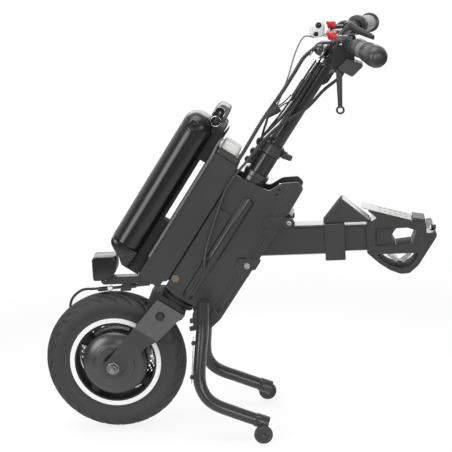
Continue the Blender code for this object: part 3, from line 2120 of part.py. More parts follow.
def build_cradle(ground):
    outline = [
        (CRADLE_FRONT, 0.4905, 0.001),
        (0.6700, 0.4620, 0.001),
        (0.7000, 0.4570, 0.002),
        (0.7010, 0.4340, 0.002),
        (0.7160, 0.4340, 0.002),
        (0.7170, 0.4380, 0.002),
        (DRAWN_FOR[1], 0.4320, 0.004),
        (DRAWN_FOR[1] - 0.001, 0.4240, 0.006),
        (0.6820, 0.3620, 0.020),
        (0.6620, 0.3445, 0.012),
        (0.6430, 0.3435, 0.015),
        (0.6200, 0.3530, 0.030),
        (0.5970, 0.3690, 0.030),
        (0.5710, 0.3935, 0.006),
        (0.5710, 0.4585, 0.004),
        (0.5940, 0.4715, 0.0015),
    ]
    body = plate("cradle_body", BLACK_COAT, ground, outline, -CRADLE_HALF, CRADLE_HALF, 0.0008, 0.0, 3)
    neck = box(
        "cradle_neck",
        BLACK_COAT,
        ground,
        (0.430 - 0.75 * STRETCH, -INNER_HALF, ARM_LOW + ARM_WALL + GAP),
        (0.5730, INNER_HALF, ARM_HIGH - ARM_WALL - GAP),
        0.002,
    )
    join(body, neck)
    hexagon = plate(
        "hexagon_window",
        STEEL,
        ground,
        [
            (0.6245, 0.4300),
            (0.6350, 0.4470),
            (0.6600, 0.4475),
            (0.6800, 0.4400),
            (0.6690, 0.4125),
            (0.6345, 0.4090),
        ],
        -0.04,
        0.04,
        0.0,
        0.002,
        1,
    )
    crescent = plate(
        "crescent_window",
        STEEL,
        ground,
        [
            (0.5910, 0.3900, 0.003),
            (0.6830, 0.3900, 0.003),
            (0.6770, 0.3740, 0.012),
            (0.6620, 0.3600, 0.012),
            (0.6430, 0.3560, 0.015),
            (0.6190, 0.3640, 0.020),
            (0.6010, 0.3780, 0.010),
        ],
        -0.04,
        0.04,
        0.0,
        0.0,
        2,
    )
    cut(body, hexagon, crescent)
    for label, side in SIDES:
        recess = plate(
            f"side_recess_{label}",
            STEEL,
            ground,
            [(0.5915, 0.4090), (0.5905, 0.4480), (0.6320, 0.4470), (0.6310, 0.4100)],
            side * (CRADLE_HALF - 0.003),
            side * (CRADLE_HALF + 0.01),
            0.0,
            0.003,
            2,
        )
        cut(body, recess)
    slot_half = HOOK_HALF + 0.0006
    hook_slot = plate(
        "hook_slot",
        STEEL,
        ground,
        [
            (0.6700, 0.3960, 0.003),
            (0.6700, 0.4120, 0.006),
            (0.6860, 0.4300, 0.004),
            (0.6860, 0.4800, 0.001),
            (0.7500, 0.4800, 0.001),
            (0.7500, 0.3960, 0.001),
        ],
        -slot_half,
        slot_half,
        0.0,
        0.0,
        1,
    )
    cut(body, hook_slot)
    for label, side in SIDES:
        lug = plate(
            f"jaw_lug_{label}",
            BLACK_COAT,
            ground,
            [
                (JAW_PIVOT.x - 0.008, 0.3505),
                (JAW_PIVOT.x - 0.0065, JAW_PIVOT.z),
                *arc((JAW_PIVOT.x, JAW_PIVOT.z), 0.0065, 150, 30, 4),
                (JAW_PIVOT.x + 0.0065, JAW_PIVOT.z),
                (JAW_PIVOT.x + 0.008, 0.3505),
            ],
            side * (JAW_HALF + 0.0005),
            side * (JAW_HALF + 0.0055),
        )
        join(body, lug)
    pins = (
        ("hook_pin", HOOK_PIVOT, 0.0030, CRADLE_HALF - 0.001),
        ("jaw_pin", JAW_PIVOT, 0.0034, JAW_HALF + 0.007),
    )
    for name, pivot, radius, half in pins:
        pin = rod(
            name,
            STEEL,
            ground,
            pivot - Vector((0, half, 0)),
            pivot + Vector((0, half, 0)),
            radius,
            12,
        )
        join(body, pin)

    hook = plate(
        "docking_hook",
        STEEL,
        ground,
        [
            (0.6760, 0.3985, 0.004),
            (0.6755, 0.4065, 0.004),
            (0.7010, 0.4330, 0.003),
            (0.7020, 0.4620, 0.003),
            (0.7100, 0.4630, 0.003),
            (0.7150, 0.4560, 0.003),
            (0.7160, 0.4470, 0.002),
            (0.7085, 0.4450, 0.002),
            (0.7090, 0.4300, 0.003),
            (0.6885, 0.4015, 0.004),
            (0.6860, 0.3965, 0.004),
        ],
        -HOOK_HALF,
        HOOK_HALF,
        0.0,
        0.0,
        2,
    )
    hook_bore = rod(
        "hook_bore",
        STEEL,
        ground,
        HOOK_PIVOT - Vector((0, 0.02, 0)),
        HOOK_PIVOT + Vector((0, 0.02, 0)),
        0.0030 + BORE_GAP,
        16,
    )
    cut(hook, hook_bore)

    jaw = plate(
        "docking_jaw",
        STEEL,
        ground,
        [
            (0.6375, 0.3640, 0.003),
            (0.6120, 0.3850, 0.002),
            (0.6185, 0.3870, 0.002),
            (0.6400, 0.3735, 0.003),
            (0.6620, 0.3870, 0.002),
            (0.6710, 0.3860, 0.002),
            (0.6480, 0.3625, 0.003),
        ],
        -JAW_HALF,
        JAW_HALF,
        0.0005,
        0.0,
        1,
    )
    jaw_bore = rod(
        "jaw_bore",
        STEEL,
        ground,
        JAW_PIVOT - Vector((0, 0.02, 0)),
        JAW_PIVOT + Vector((0, 0.02, 0)),
        0.0034 + BORE_GAP,
        16,
    )
    cut(jaw, jaw_bore)

    drop = (0.4905 - 0.4620) / (0.6700 - CRADLE_FRONT)
    rise = 0.0010
    slope = math.atan(drop)
    length = math.hypot(0.6700 - CRADLE_FRONT, 0.4905 - 0.4620)
    guide_frame = bpy.data.objects.new("guide_axes", None)
    guide_frame.parent = ground
    guide_frame.location = (CRADLE_FRONT, 0, 0.4905 + rise)
    guide_frame.rotation_euler = (0, slope, 0)
    PARTS.objects.link(guide_frame)
    guide = box(
        "guide_strip",
        WHITE_COAT,
        guide_frame,
        (-0.012, -CRADLE_HALF, 0.0),
        (length - 0.001, CRADLE_HALF, 0.0025),
        0.0008,
    )
    for row, y in enumerate((-0.011, 0.011)):
        for index in range(6):
            start = 0.026 + index * 0.0115
            slot = plate(
                f"guide_slot_{row}_{index}",
                WHITE_COAT,
                guide_frame,
                [(start, -0.01), (start, 0.01), (start + 0.0075, 0.01), (start + 0.0075, -0.01)],
                y - 0.0016,
                y + 0.0016,
            )
            cut(guide, slot)
    plate(
        "stop_block",
        BLACK_PLASTIC,
        ground,
        [
            (0.6722, 0.46163 + 1.5 * GAP, 0.001),
            (0.6722, 0.4692, 0.002),
            (0.6990, 0.4647, 0.002),
            (0.6990, 0.45717 + 1.5 * GAP, 0.001),
        ],
        -CRADLE_HALF + 0.001,
        CRADLE_HALF - 0.001,
        0.0,
        0.0,
        2,
    )


def build_cables(ground, steer):
    hose = route(
        [
            (0.0020, -0.0180, 0.8300),
            (-0.0050, -0.0240, 0.8050),
            (-0.0040, -0.0260, 0.7700),
            (-0.0040, -0.0260, 0.7300),
            (-0.0060, -0.0260, 0.6900),
            (-0.0080, -0.0260, 0.6460),
            (-0.0070, -0.0250, 0.6000),
            (-0.0060, -0.0240, 0.5650),
            (-0.0065, -0.0240, CAP_TOP + GAP),
        ],
        4,
    )
    ribbed("spiral_hose", BLACK_PLASTIC, steer, hose, 0.0040, 0.0070, 0.0006)

    meeting = Vector((0.0140, -0.0400, 0.5980))
    upper = route(
        [
            (0.0742, -0.1200, 0.8375),
            (0.0748, -0.1100, 0.8200),
            (0.0650, -0.0700, 0.7760),
            (0.0560, -0.0480, 0.7200),
            (0.0300, -0.0420, 0.6620),
            (0.0180, -0.0400, 0.6180),
            meeting + Vector((0, 0, 0.0003)),
        ],
        4,
    )
    tube("stand_cable_upper", BLACK_PLASTIC, steer, upper, 0.0025)
    lower = route(
        [
            meeting,
            (0.0100, -0.0400, 0.5560),
            (0.0040, -0.0395, 0.5140),
            (0.0040, -0.0400, 0.4700),
            (0.0130, -0.0400, 0.4280),
            (0.0250, -0.0410, 0.3800),
            (0.0360, -0.0440, 0.3400),
            (0.0480, -0.0450, 0.3120),
            (0.0570, -0.0415, 0.2960),
        ],
        4,
    )
    ribbed("stand_cable_lower", BLACK_PLASTIC, steer, lower, 0.0029, 0.0092, 0.0005)

    display_run = route(
        [
            (-0.0065, -0.0060, 0.8519),
            (-0.0150, -0.0060, 0.8490),
            (-0.0250, -0.0060, 0.8430),
            (-0.0270, -0.0080, 0.8280),
            (-0.0230, -0.0100, 0.8000),
            (-0.0100, -0.0140, 0.7520),
            (0.0005, -0.0160, 0.7000),
            (0.0033, -0.0160, 0.6790),
        ],
        3,
    )
    cable = as_mesh(tube("display_cable", BLACK_PLASTIC, steer, display_run, 0.0016, 1))
    splitter = turned(
        "cable_splitter",
        BLACK_PLASTIC,
        steer,
        [(0, 0.0), (0.0075, 0.0), (0.0080, 0.002), (0.0060, 0.016), (0.0030, 0.026), (0, 0.026)],
        (0.0035, -0.0160, 0.6825),
        (0.0, 0.0, -1.0),
        12,
    )
    trunk = as_mesh(
        tube(
            "splitter_trunk",
            BLACK_PLASTIC,
            steer,
            route(
                [
                    (0.0035, -0.0160, 0.6620),
                    (0.0030, -0.0160, 0.6400),
                    (0.0040, -0.0150, 0.6250),
                    (0.0090, -0.0110, 0.6135),
                ],
                3,
            ),
            0.0026,
        )
    )
    join(cable, splitter, trunk)

    hoses = route(
        [
            (0.0330, -0.0255, 0.8300),
            (0.0340, -0.0250, 0.7900),
            (0.0350, -0.0240, 0.7400),
            (0.0350, -0.0240, 0.6900),
            (0.0330, -0.0250, 0.6500),
            (0.0290, -0.0250, 0.6250),
            (0.0200, -0.0190, 0.6100),
        ],
        3,
    )
    tube("column_hoses", BLACK_PLASTIC, steer, hoses, 0.0030)

    motor_stops = [
        (-0.0162, 0.0000, 0.3245),
        (-0.0400, 0.0050, 0.3235),
        (-0.0720, 0.0220, 0.3160),
        (-0.1000, 0.0430, 0.2880),
        (-0.1060, 0.0600, 0.2500),
        (-0.0850, 0.0820, 0.2080),
        (-0.0450, 0.0980, 0.1760),
        (-0.0160, 0.1010, 0.1630),
        (-0.0020, 0.0960, DRAWN_FOR[0]),
        (0.0000, BLADE_IN + BLADE_THICK + 0.017 + 3 * GAP, DRAWN_FOR[0]),
    ]
    to_axle = Vector((-GROWTH * math.tan(TILT), 0.0, -GROWTH))
    last = len(motor_stops) - 1
    motor = route([Vector(stop) + to_axle * (index / last) for index, stop in enumerate(motor_stops)], 3)
    tube("motor_cable", BLACK_PLASTIC, ground, motor, 0.0030)


def main():
    clear_scene()
    axle_x = -(REAR_REACH - TYRE_R) / 2
    ground = empty("ground_axes", (axle_x, 0.0, 0.0))
    hub = empty("hub_axes", (axle_x, 0.0, TYRE_R), TILT)
    frame_x = axle_x + GROWTH * math.tan(TILT)
    steer = empty("steer_axes", (frame_x, 0.0, TYRE_R + GROWTH), TILT)
    carried = empty("frame_axes", (frame_x, 0.0, 2 * GROWTH))
    cradle = empty("cradle_axes", (frame_x + STRETCH, 0.0, 2 * GROWTH))
    build_wheel(ground)
    build_axle(hub)
    build_fork(steer)
    build_caliper(hub)
    build_steerer(steer)
    build_side_plates(steer)
    build_head_tube(steer)
    build_beam(steer)
    build_battery(steer)
    build_lock(steer)
    build_conduit(steer)
    build_headlight(carried, steer)
    build_column(steer, carried)
    build_handlebar(carried)
    build_brakes(carried)
    build_bar_pieces(carried)
    build_release_lever(carried)
    build_strap(carried)
    build_stand(carried)
    build_leg_wire(carried)
    build_brackets(carried)
    build_arm(carried, steer)
    build_cradle(cradle)
    build_cables(carried, steer)


main()
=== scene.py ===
"""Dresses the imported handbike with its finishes, cables, tyre, grips and small fittings."""

import math

import bpy
from bpy.props import FloatProperty, FloatVectorProperty, IntProperty
from mathutils import Matrix, Vector


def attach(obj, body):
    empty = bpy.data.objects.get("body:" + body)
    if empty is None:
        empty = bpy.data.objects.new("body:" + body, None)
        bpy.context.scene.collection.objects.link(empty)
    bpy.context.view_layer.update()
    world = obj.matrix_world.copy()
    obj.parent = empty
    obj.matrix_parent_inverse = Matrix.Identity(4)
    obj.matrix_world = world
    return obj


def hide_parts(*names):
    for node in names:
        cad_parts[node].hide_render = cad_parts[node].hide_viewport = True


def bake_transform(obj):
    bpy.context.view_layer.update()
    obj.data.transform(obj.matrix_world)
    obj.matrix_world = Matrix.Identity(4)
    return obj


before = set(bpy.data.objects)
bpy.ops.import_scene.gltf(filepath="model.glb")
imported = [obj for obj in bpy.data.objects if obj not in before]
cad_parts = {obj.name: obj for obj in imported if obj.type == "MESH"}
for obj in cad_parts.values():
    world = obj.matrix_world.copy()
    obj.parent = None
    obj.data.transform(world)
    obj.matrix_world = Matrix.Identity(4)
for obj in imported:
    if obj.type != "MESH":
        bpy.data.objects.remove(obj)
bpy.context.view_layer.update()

bl_info = {"name": "Handbike dresser", "version": (1, 0, 0), "blender": (4, 5, 0),
    "location": "3D View > Sidebar > Handbike",
    "description": "Finishes, cables and fittings for the handbike model", "category": "Object"}

# The wheel's axle, and the axes that lean with the fork: v across, u along the steering axis
AXLE_Z = 0.159
AXLE = Vector((-0.282, 0.0, AXLE_Z))
LEAN = math.radians(34.2)
STEER_V = 0.045
SIDES = (("left", -1), ("right", 1))

# Metres: the smallest ring a lathe turns, the gap that doubles merge over, the rise of an eased rim
LEAST_RADIUS = 0.00002
DOUBLES_GAP = 0.00001
RIM_EASE = 0.0006
BEVEL_ABOVE = 35

# Radii and places of the wheel
TYRE_MIDDLE = 0.1305
TYRE_SWELL = 0.0285
COVER_SCREW_CIRCLE = 0.0375
ARM_SCREW_CIRCLE = 0.0665
ROTOR_RADIUS = 0.090
ROTOR_THICKNESS = 0.0017
ROTOR_Y = 0.0376 + 0.0009
ROTOR_RINGS = (0.0878, 0.0856, 0.0838, 0.0816, 0.0798, 0.0776, 0.0758, 0.0722, 0.0560, 0.0440, 0.0330, 0.0175)

# Distance of the side plates' outer faces from the middle, and the handlebar's centre
PLATE_FACE = 0.0325
BAR_X, BAR_Z = 0.520, 0.843

# Height of the matt blocks that paint the shade inside the slots, over the guide strip's middle plane
SLOT_LIFT = 0.0016


def leaning(v, y, u):
    """A point given along the fork's own axes, in the model's frame."""
    return Vector((AXLE.x + v * math.cos(LEAN) + u * math.sin(LEAN), y,
        AXLE.z + u * math.cos(LEAN) - v * math.sin(LEAN)))


def level(x, y, z):
    """A point measured from below the wheel's axle, in the model's frame."""
    return Vector((AXLE.x + x, y, z))


FORK_UP = (leaning(0, 0, 1) - leaning(0, 0, 0)).normalized()


# Shop tools: each starts from one primitive and shapes it


def put_down():
    """Nothing selected, object mode."""
    if bpy.context.object and bpy.context.object.mode != "OBJECT":
        bpy.ops.object.mode_set(mode="OBJECT")
    bpy.ops.object.select_all(action="DESELECT")


def pick(*pieces):
    put_down()
    for piece in pieces:
        piece.select_set(True)
    bpy.context.view_layer.objects.active = pieces[0]
    return pieces[0]


def named(name):
    piece = bpy.context.object
    piece.name = name
    piece.data.name = name
    return piece


def settle(piece):
    """The piece's place goes into its mesh."""
    pick(piece)
    bpy.ops.object.transform_apply(location=True, rotation=True, scale=True)
    return piece


def face_out(piece, gap=0.000002):
    """Doubles merged and every face turned outwards."""
    pick(piece)
    bpy.ops.object.mode_set(mode="EDIT")
    bpy.ops.mesh.select_all(action="SELECT")
    bpy.ops.mesh.remove_doubles(threshold=gap)
    bpy.ops.mesh.normals_make_consistent(inside=False)
    bpy.ops.object.mode_set(mode="OBJECT")
    return piece


def smooth_by(piece, degrees=35):
    pick(piece)
    bpy.ops.object.shade_smooth_by_angle(angle=math.radians(degrees), keep_sharp_edges=True)
    return piece


def round_edges(piece, width, segments=2):
    """A bevel on every edge sharper than BEVEL_ABOVE degrees."""
    pick(piece)
    bevel = piece.modifiers.new("round", "BEVEL")
    bevel.width = width
    bevel.segments = segments
    bevel.limit_method = "ANGLE"
    bevel.angle_limit = math.radians(BEVEL_ABOVE)
    bpy.ops.object.modifier_apply(modifier="round")
    return smooth_by(piece, 40)


def carve(piece, tool, degrees):
    """The tool's shape is taken out of the piece."""
    hollow = piece.modifiers.new("hollow", "BOOLEAN")
    hollow.operation = "DIFFERENCE"
    hollow.solver = "EXACT"
    hollow.object = tool
    pick(piece)
    bpy.ops.object.modifier_apply(modifier="hollow")
    bpy.data.objects.remove(tool)
    return smooth_by(piece, degrees)


def stand_along(direction):
    return Vector(direction).normalized().to_track_quat("Z", "Y")


def lathe(name, profile, place, along, steps=48, closed=False, sharp=32):
    """A ring drawn out along its axis, ring by ring, through (radius, height) pairs."""
    put_down()
    first_radius, first_height = profile[0]
    bpy.ops.mesh.primitive_circle_add(vertices=steps, radius=max(first_radius, LEAST_RADIUS),
        location=(0, 0, first_height), fill_type="NOTHING")
    piece = named(name)
    radius, height = max(first_radius, LEAST_RADIUS), first_height
    bpy.ops.object.transform_apply(location=True)
    bpy.ops.object.mode_set(mode="EDIT")
    bpy.ops.mesh.select_mode(type="VERT")
    bpy.ops.mesh.select_all(action="SELECT")
    if not closed:
        bpy.ops.mesh.edge_face_add()
    stops = profile[1:] + ([profile[0]] if closed else [])
    for next_radius, next_height in stops:
        next_radius = max(next_radius, LEAST_RADIUS)
        bpy.ops.mesh.extrude_region()
        bpy.ops.transform.translate(value=(0, 0, next_height - height))
        share = next_radius / radius
        bpy.ops.transform.resize(value=(share, share, 1), center_override=(0, 0, next_height))
        radius, height = next_radius, next_height
    if not closed:
        bpy.ops.mesh.edge_face_add()
    bpy.ops.object.mode_set(mode="OBJECT")
    face_out(piece, DOUBLES_GAP)
    piece.rotation_mode = "QUATERNION"
    piece.rotation_quaternion = stand_along(along)
    piece.location = place
    settle(piece)
    return smooth_by(piece, sharp)


def eased_ring(bore, low, high, radius, ease):
    """The profile of a ring whose two outer rims are eased."""
    return [(bore, low), (radius - ease, low), (radius, low + RIM_EASE), (radius, high - RIM_EASE),
        (radius - ease, high), (bore, high)]


def sheet_cut(name, outline, low, high, leans=False, edge=0.0, segments=2):
    """A plate cut to an outline of (across, up) pairs and drawn out between two y values."""
    put_down()
    bpy.ops.mesh.primitive_circle_add(vertices=len(outline), radius=0.01, fill_type="NGON")
    piece = named(name)
    across = leaning if leans else level
    for vert, (first, second) in zip(piece.data.vertices, outline):
        vert.co = across(first, low, second)
    bpy.ops.object.mode_set(mode="EDIT")
    bpy.ops.mesh.select_all(action="SELECT")
    bpy.ops.mesh.extrude_region()
    bpy.ops.transform.translate(value=(0, high - low, 0))
    bpy.ops.object.mode_set(mode="OBJECT")
    face_out(piece)
    if edge:
        round_edges(piece, edge, segments)
    return piece


def block(name, centre, size, turn=0.0, edge=0.001, segments=3):
    """A block of a size, turned about y, with rounded edges."""
    put_down()
    bpy.ops.mesh.primitive_cube_add(size=1, location=centre, rotation=(0, turn, 0), scale=size)
    piece = named(name)
    settle(piece)
    return round_edges(piece, edge, segments)


def dark_line(name, x, y, z, size, edge):
    """A thin strip laid on a face to paint shade along an edge and shadows under edges."""
    return block(name, level(x, y, z), size, 0.0, edge, 1)


def hull(name, corner, stops, steps=96):
    """A rounded block drawn out up the fork's lean through (u, front, rear, half width) stops."""
    put_down()
    up, front, rear, half = stops[0]
    bpy.ops.mesh.primitive_circle_add(vertices=steps, radius=1, location=(0, 0, 0), fill_type="NOTHING")
    piece = named(name)
    middle, reach = (front + rear) / 2, (rear - front) / 2
    for index, vert in enumerate(piece.data.vertices):
        angle = 2 * math.pi * index / steps
        out = (math.cos(angle), math.sin(angle))
        hub = [math.copysign(max(0.0, size - corner), part) for size, part in zip((reach, half), out)]
        vert.co = (middle + hub[0] + corner * out[0], hub[1] + corner * out[1], up)
    bpy.ops.object.mode_set(mode="EDIT")
    bpy.ops.mesh.select_mode(type="VERT")
    bpy.ops.mesh.select_all(action="SELECT")
    bpy.ops.mesh.edge_face_add()
    for next_up, front, rear, next_half in stops[1:]:
        next_middle, next_reach = (front + rear) / 2, (rear - front) / 2
        bpy.ops.mesh.extrude_region()
        bpy.ops.transform.translate(value=(next_middle - middle, 0, next_up - up))
        bpy.ops.transform.resize(value=(next_reach / reach, next_half / half, 1),
            center_override=(next_middle, 0, next_up))
        up, middle, reach, half = next_up, next_middle, next_reach, next_half
    bpy.ops.mesh.edge_face_add()
    bpy.ops.object.mode_set(mode="OBJECT")
    face_out(piece, DOUBLES_GAP)
    piece.location = AXLE
    piece.rotation_euler = (0, LEAN, 0)
    settle(piece)
    return smooth_by(piece, 32)


def round_bar(name, start, end, radius, steps=32, edge=0.0, end_radius=None):
    """A bar between two points with its rims eased."""
    start, end = Vector(start), Vector(end)
    long = (end - start).length
    last = radius if end_radius is None else end_radius
    ease = min(edge, radius * 0.6, long * 0.4)
    if ease:
        shape = [(radius - ease, 0), (radius - ease * 0.3, ease * 0.3), (radius, ease), (last, long - ease),
            (last - ease * 0.3, long - ease * 0.3), (last - ease, long)]
    else:
        shape = [(radius, 0), (last, long)]
    return lathe(name, shape, start, end - start, steps)


def run_through(points, per_span=6):
    """Points along a smooth curve through every given point."""
    points = [Vector(point) for point in points]
    points = [2 * points[0] - points[1], *points, 2 * points[-1] - points[-2]]
    route = []
    for index in range(1, len(points) - 2):
        before, start, end, after = points[index - 1 : index + 3]
        for step in range(per_span):
            t = step / per_span
            route.append(
                0.5
                * (
                    2 * start
                    + (end - before) * t
                    + (2 * before - 5 * start + 4 * end - after) * t * t
                    + (3 * start - before - 3 * end + after) * t**3
                )
            )
    route.append(points[-2])
    return route


def hose(name, points, radius, around=3, radii=None):
    """A round hose along a route, made a mesh with closed ends."""
    put_down()
    bpy.ops.curve.primitive_nurbs_path_add()
    piece = named(name)
    curve = piece.data
    curve.splines.clear()
    spline = curve.splines.new("POLY")
    spline.points.add(len(points) - 1)
    for index, point in enumerate(points):
        spline.points[index].co = (*point, 1.0)
        spline.points[index].radius = 1.0 if radii is None else radii[index]
    spline.use_smooth = True
    curve.bevel_depth = radius
    curve.bevel_resolution = around
    curve.use_fill_caps = True
    pick(piece)
    bpy.ops.object.convert(target="MESH")
    piece = named(name)
    face_out(piece)
    return smooth_by(piece, 60)


def along_route(points, share):
    """The place and direction at a share of a route's length."""
    spans = [(b - a).length for a, b in zip(points, points[1:])]
    wanted = sum(spans) * share
    for index, span in enumerate(spans):
        if wanted <= span or index == len(spans) - 1:
            a, b = points[index], points[index + 1]
            return a.lerp(b, min(1.0, wanted / span)), (b - a).normalized()
        wanted -= span


def merge(name, *pieces):
    pick(*pieces)
    bpy.ops.object.join()
    return named(name)


def coat(piece, finish):
    piece.data.materials.clear()
    piece.data.materials.append(FINISH[finish])


def hand_over(piece, stands_for):
    if stands_for:
        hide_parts(stands_for)
    return piece


def fit(piece, body, finish, stands_for=None):
    """The piece gets its finish and body."""
    coat(piece, finish)
    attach(piece, body)
    return hand_over(piece, stands_for)


def share_between(value, low, high):
    t = min(1.0, max(0.0, (value - low) / (high - low)))
    return t * t * (3 - 2 * t)


# Finishes


def new_group(name, inputs, outputs):
    group = bpy.data.node_groups.new(name, "ShaderNodeTree")
    for label, kind, default in inputs:
        socket = group.interface.new_socket(label, in_out="INPUT", socket_type=kind)
        if default is not None:
            socket.default_value = default
    for label, kind in outputs:
        group.interface.new_socket(label, in_out="OUTPUT", socket_type=kind)
    return group, group.nodes.new("NodeGroupInput"), group.nodes.new("NodeGroupOutput")


def add(tree, kind, links=None, **values):
    """A node with its properties set and its inputs linked or given a value."""
    node = tree.nodes.new(kind)
    for key, value in values.items():
        setattr(node, key, value)
    for socket, value in (links or {}).items():
        if isinstance(value, bpy.types.NodeSocket):
            tree.links.new(value, node.inputs[socket])
        else:
            node.inputs[socket].default_value = value
    return node


def blend_colour(tree, factor, first, second):
    node = add(tree, "ShaderNodeMix", data_type="RGBA", blend_type="MIX")
    for socket, value in ((0, factor), (6, first), (7, second)):
        if isinstance(value, bpy.types.NodeSocket):
            tree.links.new(value, node.inputs[socket])
        else:
            node.inputs[socket].default_value = value
    return node.outputs[2]


def reading(tree, operation, first, second=0.5, third=0.0, clamp=False):
    node = add(tree, "ShaderNodeMath", operation=operation, use_clamp=clamp)
    for index, value in enumerate((first, second, third)):
        if isinstance(value, bpy.types.NodeSocket):
            tree.links.new(value, node.inputs[index])
        else:
            node.inputs[index].default_value = value
    return node.outputs[0]


def make_grain_group():
    """Fine speckle and broad cloudiness of a coated or moulded skin."""
    group, inlet, outlet = new_group("skin_grain", [("Colour", "NodeSocketColor", (0.02, 0.02, 0.02, 1)),
        ("Second", "NodeSocketColor", (0.03, 0.03, 0.03, 1)), ("Roughness", "NodeSocketFloat", 0.45),
        ("Spread", "NodeSocketFloat", 0.1), ("Grain size", "NodeSocketFloat", 900.0),
        ("Cloud size", "NodeSocketFloat", 9.0)], [("Colour", "NodeSocketColor"),
        ("Roughness", "NodeSocketFloat"), ("Height", "NodeSocketFloat")])
    place = add(group, "ShaderNodeTexCoord").outputs["Object"]
    grain = add(group, "ShaderNodeTexNoise", {"Vector": place, "Scale": inlet.outputs["Grain size"],
        "Detail": 2.0})
    cloud = add(group, "ShaderNodeTexNoise", {"Vector": place, "Scale": inlet.outputs["Cloud size"],
        "Detail": 5.0, "Roughness": 0.6})
    share = reading(group, "MULTIPLY_ADD", grain.outputs["Fac"], 0.45, -0.1)
    share = reading(group, "MULTIPLY_ADD", cloud.outputs["Fac"], 0.65, share, clamp=True)
    colour = blend_colour(group, share, inlet.outputs["Colour"], inlet.outputs["Second"])
    drift = reading(group, "MULTIPLY_ADD", cloud.outputs["Fac"], 2.0, -1.0)
    rough = reading(group, "MULTIPLY_ADD", drift, inlet.outputs["Spread"], inlet.outputs["Roughness"])
    group.links.new(colour, outlet.inputs["Colour"])
    group.links.new(rough, outlet.inputs["Roughness"])
    group.links.new(grain.outputs["Fac"], outlet.inputs["Height"])
    return group


def make_edge_group():
    """Edges rounded to the eye, and made brighter along every rim: partly wear where hands and tools meet them,
    partly painted highlight.
    """
    group, inlet, outlet = new_group("painted_edge_highlights_and_wear", [("Colour", "NodeSocketColor", (0.02, 0.02, 0.02, 1)),
        ("Edge wear and highlight", "NodeSocketColor", (0.1, 0.1, 0.1, 1)), ("Roughness", "NodeSocketFloat", 0.4),
        ("Rubbed roughness", "NodeSocketFloat", 0.3), ("Width", "NodeSocketFloat", 0.0009),
        ("Amount", "NodeSocketFloat", 0.6)], [("Colour", "NodeSocketColor"), ("Roughness", "NodeSocketFloat"),
        ("Normal", "NodeSocketVector")])
    rounded = add(group, "ShaderNodeBevel", {"Radius": inlet.outputs["Width"]}, samples=6)
    place = add(group, "ShaderNodeTexCoord").outputs["Object"]
    true_face = add(group, "ShaderNodeNewGeometry")
    dot = add(group, "ShaderNodeVectorMath", {0: rounded.outputs[0], 1: true_face.outputs["Normal"]},
        operation="DOT_PRODUCT")
    turn = reading(group, "MULTIPLY_ADD", dot.outputs["Value"], -5.0, 4.9, clamp=True)
    broken = add(group, "ShaderNodeTexNoise", {"Vector": place, "Scale": 160.0, "Detail": 4.0})
    broken = reading(group, "MULTIPLY_ADD", broken.outputs["Fac"], 1.8, -0.35, clamp=True)
    mask = reading(group, "MULTIPLY", turn, broken)
    mask = reading(group, "MULTIPLY", mask, inlet.outputs["Amount"], clamp=True)
    colour = blend_colour(group, mask, inlet.outputs["Colour"], inlet.outputs["Edge wear and highlight"])
    fall = reading(group, "SUBTRACT", inlet.outputs["Rubbed roughness"], inlet.outputs["Roughness"])
    rough = reading(group, "MULTIPLY_ADD", mask, fall, inlet.outputs["Roughness"])
    group.links.new(colour, outlet.inputs["Colour"])
    group.links.new(rough, outlet.inputs["Roughness"])
    group.links.new(rounded.outputs[0], outlet.inputs["Normal"])
    return group


def grey(value, warmth=0.0):
    return (value * (1 + warmth), value, value * (1 - warmth), 1.0)


def coated(
    name,
    colour,
    second,
    edge_wear_and_highlight,
    roughness,
    spread=0.06,
    grain=900.0,
    bump=0.05,
    width=0.0009,
    amount=0.6,
    metal=0.0,
    coat=0.0,
    specular=0.5,
    coat_ior=1.5,
):
    """A finish of grain and of edges brightened by wear and painted highlight, under one shader; a plain number
    is a grey.
    """
    colour, second, edge_wear_and_highlight = (grey(c) if isinstance(c, float) else c for c in (colour, second, edge_wear_and_highlight))
    material = bpy.data.materials.new(name)
    material.use_nodes = True
    tree = material.node_tree
    shader = tree.nodes["Principled BSDF"]
    skin = add(tree, "ShaderNodeGroup", node_tree=bpy.data.node_groups["skin_grain"])
    skin.inputs["Colour"].default_value = colour
    skin.inputs["Second"].default_value = second
    skin.inputs["Roughness"].default_value = roughness
    skin.inputs["Spread"].default_value = spread
    skin.inputs["Grain size"].default_value = grain
    edges = add(tree, "ShaderNodeGroup", node_tree=bpy.data.node_groups["painted_edge_highlights_and_wear"])
    edges.inputs["Edge wear and highlight"].default_value = edge_wear_and_highlight
    edges.inputs["Rubbed roughness"].default_value = max(0.12, roughness - 0.12)
    edges.inputs["Width"].default_value = width
    edges.inputs["Amount"].default_value = amount
    tree.links.new(skin.outputs["Colour"], edges.inputs["Colour"])
    tree.links.new(skin.outputs["Roughness"], edges.inputs["Roughness"])
    relief = add(tree, "ShaderNodeBump", {"Height": skin.outputs["Height"], "Normal": edges.outputs["Normal"],
        "Strength": bump, "Distance": 0.0004})
    tree.links.new(edges.outputs["Colour"], shader.inputs["Base Color"])
    tree.links.new(edges.outputs["Roughness"], shader.inputs["Roughness"])
    tree.links.new(relief.outputs["Normal"], shader.inputs["Normal"])
    shader.inputs["Metallic"].default_value = metal
    shader.inputs["Coat Weight"].default_value = coat
    shader.inputs["Coat Roughness"].default_value = 0.18
    shader.inputs["Coat IOR"].default_value = coat_ior
    shader.inputs["Specular IOR Level"].default_value = specular
    return material


def shade_of(colour, share=1.0):
    return (*(min(1.0, part * share) for part in colour), 1.0)


